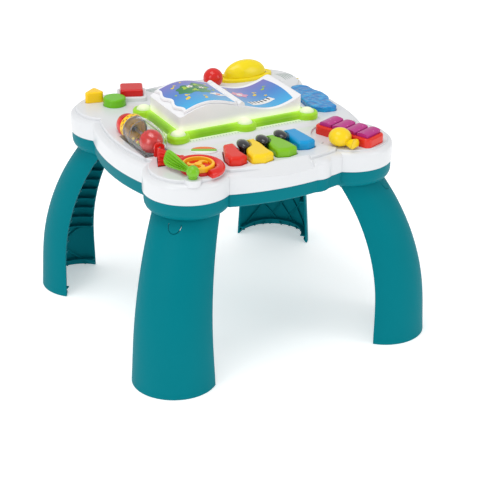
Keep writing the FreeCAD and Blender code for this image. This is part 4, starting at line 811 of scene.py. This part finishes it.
# Share of the way from the neck to the mouth, radius and depth of the flutes, in metres.
bell_rings = [(0.25, 0.0083, 0.0001), (0.5, 0.0106, 0.0004), (0.75, 0.0131, 0.0007), (0.95, 0.0152, 0.001),
              (1.03, 0.0160, 0.0012), (1.03, 0.0146, 0.0012), (0.9, 0.0128, 0.0008)]
bell_around = 180
flutes = 18
over_deck = 0.2858
for share, radius, depth in bell_rings:
    centre = bell_neck.lerp(bell_mouth, share)
    for i in range(bell_around):
        angle = 2 * math.pi * i / bell_around
        reach = radius + depth * math.cos(flutes * angle)
        point = centre + (bell_side * math.cos(angle) + bell_up * math.sin(angle)) * reach
        point.z = max(point.z, over_deck)
        bell_verts.append(point)
for k in range(len(bell_rings) - 1):
    near = k * bell_around
    far = (k + 1) * bell_around
    for i in range(bell_around):
        j = (i + 1) % bell_around
        bell_faces.append([near + i, near + j, far + j, far + i])
bell_mesh = bpy.data.meshes.new("bell_flutes")
bell_mesh.from_pydata(bell_verts, [], bell_faces)
bell_mesh.shade_smooth()
mounted("bell_flutes", bell_mesh, horn_red, "table")

# Beside the disc lies a flat oval badge, a thin white plate on the deck.
# An orange and a green band in plain colours lie on it, a fraction of a millimetre proud.

badge_place = (-0.0805, -0.0865)
badge_turn = math.radians(-27)


def clipped_oval(half_x, half_y, low, high):
    """The part of an oval between two heights across it."""
    right = []
    left = []
    steps = 24
    for i in range(steps + 1):
        y = low + (high - low) * i / steps
        reach = half_x * math.sqrt(max(0.0, 1 - (y / half_y) ** 2))
        right.append((reach, y))
        left.append((-reach, y))
    return right + left[::-1]


badge_foot, badge_top = 0.2854, 0.2862
band_foot, band_top = 0.2861, 0.28645
badge_outline = turned(oval(0.0185, 0.0125, 48), badge_place, badge_turn)
join_blocks("badge_plate", [(badge_outline, badge_foot, badge_top)], paper_print, "table")
for colour_name, colour, low, high in (("orange", (0.8, 0.16, 0.02), 0.0042, 0.0112),
                                       ("green", (0.2, 0.5, 0.03), -0.0035, 0.0034)):
    band = turned(clipped_oval(0.0172, 0.0114, low, high), badge_place, badge_turn)
    join_blocks("badge_%s_band" % colour_name, [(band, band_foot, band_top)],
                moulded_plastic("badge_%s" % colour_name, colour, 0.25), "table")

# Right lobe: four purple pads in a red frame, and a yellow knob beside them.
# The pads have small pale specks under a glossy skin.

pad_purple = moulded_plastic("pad_purple", (0.46, 0.02, 0.22), 0.24, edge=0.0012)
pad_tree = pad_purple.node_tree
pad_place = pad_tree.nodes.new("ShaderNodeTexCoord")
pad_specks = pad_tree.nodes.new("ShaderNodeTexVoronoi")
pad_specks.inputs["Scale"].default_value = 130.0
pad_step = pad_tree.nodes.new("ShaderNodeMath")
pad_step.operation = "LESS_THAN"
pad_step.inputs[1].default_value = 0.13
pad_mix = pad_tree.nodes.new("ShaderNodeMix")
pad_mix.data_type = "RGBA"
pad_mix.inputs["A"].default_value = (0.46, 0.02, 0.22, 1)
pad_mix.inputs["B"].default_value = (0.62, 0.14, 0.38, 1)
pad_tree.links.new(pad_place.outputs["Object"], pad_specks.inputs["Vector"])
pad_tree.links.new(pad_specks.outputs["Distance"], pad_step.inputs[0])
pad_tree.links.new(pad_step.outputs["Value"], pad_mix.inputs["Factor"])
pad_tree.links.new(pad_mix.outputs["Result"], pad_tree.nodes["Principled BSDF"].inputs["Base Color"])
dress(["pad_1", "pad_2", "pad_3", "pad_4"], pad_purple)
frame_red = moulded_plastic("frame_red", (0.7, 0.025, 0.012), 0.22)
dress(["pad_frame"], frame_red)
dress(["striker_knob"], key_yellow)

# Back lobe and side: a yellow drum with a knobbly skin, a red ball and a blue panel of small bubbles.
# All three are glossy mouldings; the drum and the panel press down and the ball spins.

drum_skin = moulded_plastic("drum_skin", (0.9, 0.7, 0.004), 0.26, shine=0.2)


def knobbly(look, scale, strength, distance):
    """Rounded bumps over the whole surface."""
    tree = look.node_tree
    place = tree.nodes.new("ShaderNodeTexCoord")
    cells = tree.nodes.new("ShaderNodeTexVoronoi")
    cells.feature = "SMOOTH_F1"
    cells.inputs["Scale"].default_value = scale
    bump = tree.nodes.new("ShaderNodeBump")
    bump.invert = True
    bump.inputs["Strength"].default_value = strength
    bump.inputs["Distance"].default_value = distance
    tree.links.new(place.outputs["Object"], cells.inputs["Vector"])
    tree.links.new(cells.outputs["Distance"], bump.inputs["Height"])
    tree.links.new(tree.nodes["pits"].outputs["Normal"], bump.inputs["Normal"])
    tree.links.new(bump.outputs["Normal"], tree.nodes["Principled BSDF"].inputs["Normal"])
    return cells


knobbly(drum_skin, 85.0, 0.8, 0.003)
dress(["drum_dome", "drum_brim"], drum_skin)
dress(["ball_knob"], cap_red)
panel_blue = moulded_plastic("panel_blue", (0.0, 0.3, 0.72), 0.16, shine=0.3)
bubbles = knobbly(panel_blue, 150.0, 0.8, 0.0025)
panel_tree = panel_blue.node_tree
# Painted shade: the panel's blue is darker in the hollows between the bubbles and lighter on their tops.
bubble_shade_mix = panel_tree.nodes.new("ShaderNodeMix")
bubble_shade_mix.data_type = "RGBA"
bubble_shade_mix.inputs["A"].default_value = (0.01, 0.42, 0.8, 1)
bubble_shade_mix.inputs["B"].default_value = (0.0, 0.2, 0.55, 1)
bubble_shade_span = panel_tree.nodes.new("ShaderNodeMapRange")
bubble_shade_span.inputs["From Max"].default_value = 0.55
panel_tree.links.new(bubbles.outputs["Distance"], bubble_shade_span.inputs["Value"])
panel_tree.links.new(bubble_shade_span.outputs["Result"], bubble_shade_mix.inputs["Factor"])
panel_tree.links.new(bubble_shade_mix.outputs["Result"], panel_tree.nodes["Principled BSDF"].inputs["Base Color"])
dress(["wave_panel"], panel_blue)

# Two stickers on the white deck carry curved grey-green stripes.
# One lies behind the drum and one by the square button.

stripe_look = moulded_plastic("stripe_grey_green", (0.32, 0.42, 0.38), 0.3, grain=0.02)
stripe_end = moulded_plastic("stripe_end", (0.75, 0.6, 0.1), 0.3, grain=0.02)


def bowed_stripe(start, end, bow, half):
    """A slim curved band between two points."""
    points = []
    back = []
    length = math.hypot(end[0] - start[0], end[1] - start[1])
    across = (-(end[1] - start[1]) / length, (end[0] - start[0]) / length)
    steps = 16
    for i in range(steps + 1):
        share = i / steps
        lift = bow * 4 * share * (1 - share)
        x = start[0] + (end[0] - start[0]) * share + across[0] * lift
        y = start[1] + (end[1] - start[1]) * share + across[1] * lift
        wide = half * (0.35 + 0.65 * math.sin(math.pi * share))
        points.append((x + across[0] * wide, y + across[1] * wide))
        back.append((x - across[0] * wide, y - across[1] * wide))
    return points + back[::-1]


sticker_foot, sticker_top = 0.28545, 0.2856
stripe_bow = 0.003
stripe_half = 0.0008
stripes = []
for i in range(5):
    shift = 0.0035 * i
    for start, end in (((0.150 + shift, 0.140 - shift * 0.3), (0.152 + shift * 1.1, 0.108 + shift * 0.4)),
                       ((-0.060 + shift * 1.3, 0.163), (-0.044 + shift * 1.1, 0.142))):
        stripes.append((bowed_stripe(start, end, stripe_bow, stripe_half), sticker_foot, sticker_top))
join_blocks("sticker_stripes", stripes, stripe_look, "table")
sticker_ends = [(turned(oval(size, size), place, 0), sticker_foot, sticker_top)
                for size, place in ((0.002, (0.171, 0.106)), (0.0022, (-0.032, 0.150)))]
join_blocks("sticker_ends", sticker_ends, stripe_end, "table")

# The power switch is a small black slider, moulded in the same glossy black as the short keys.
# It slides in a slot of its own.

dress(["power_switch"], key_black)
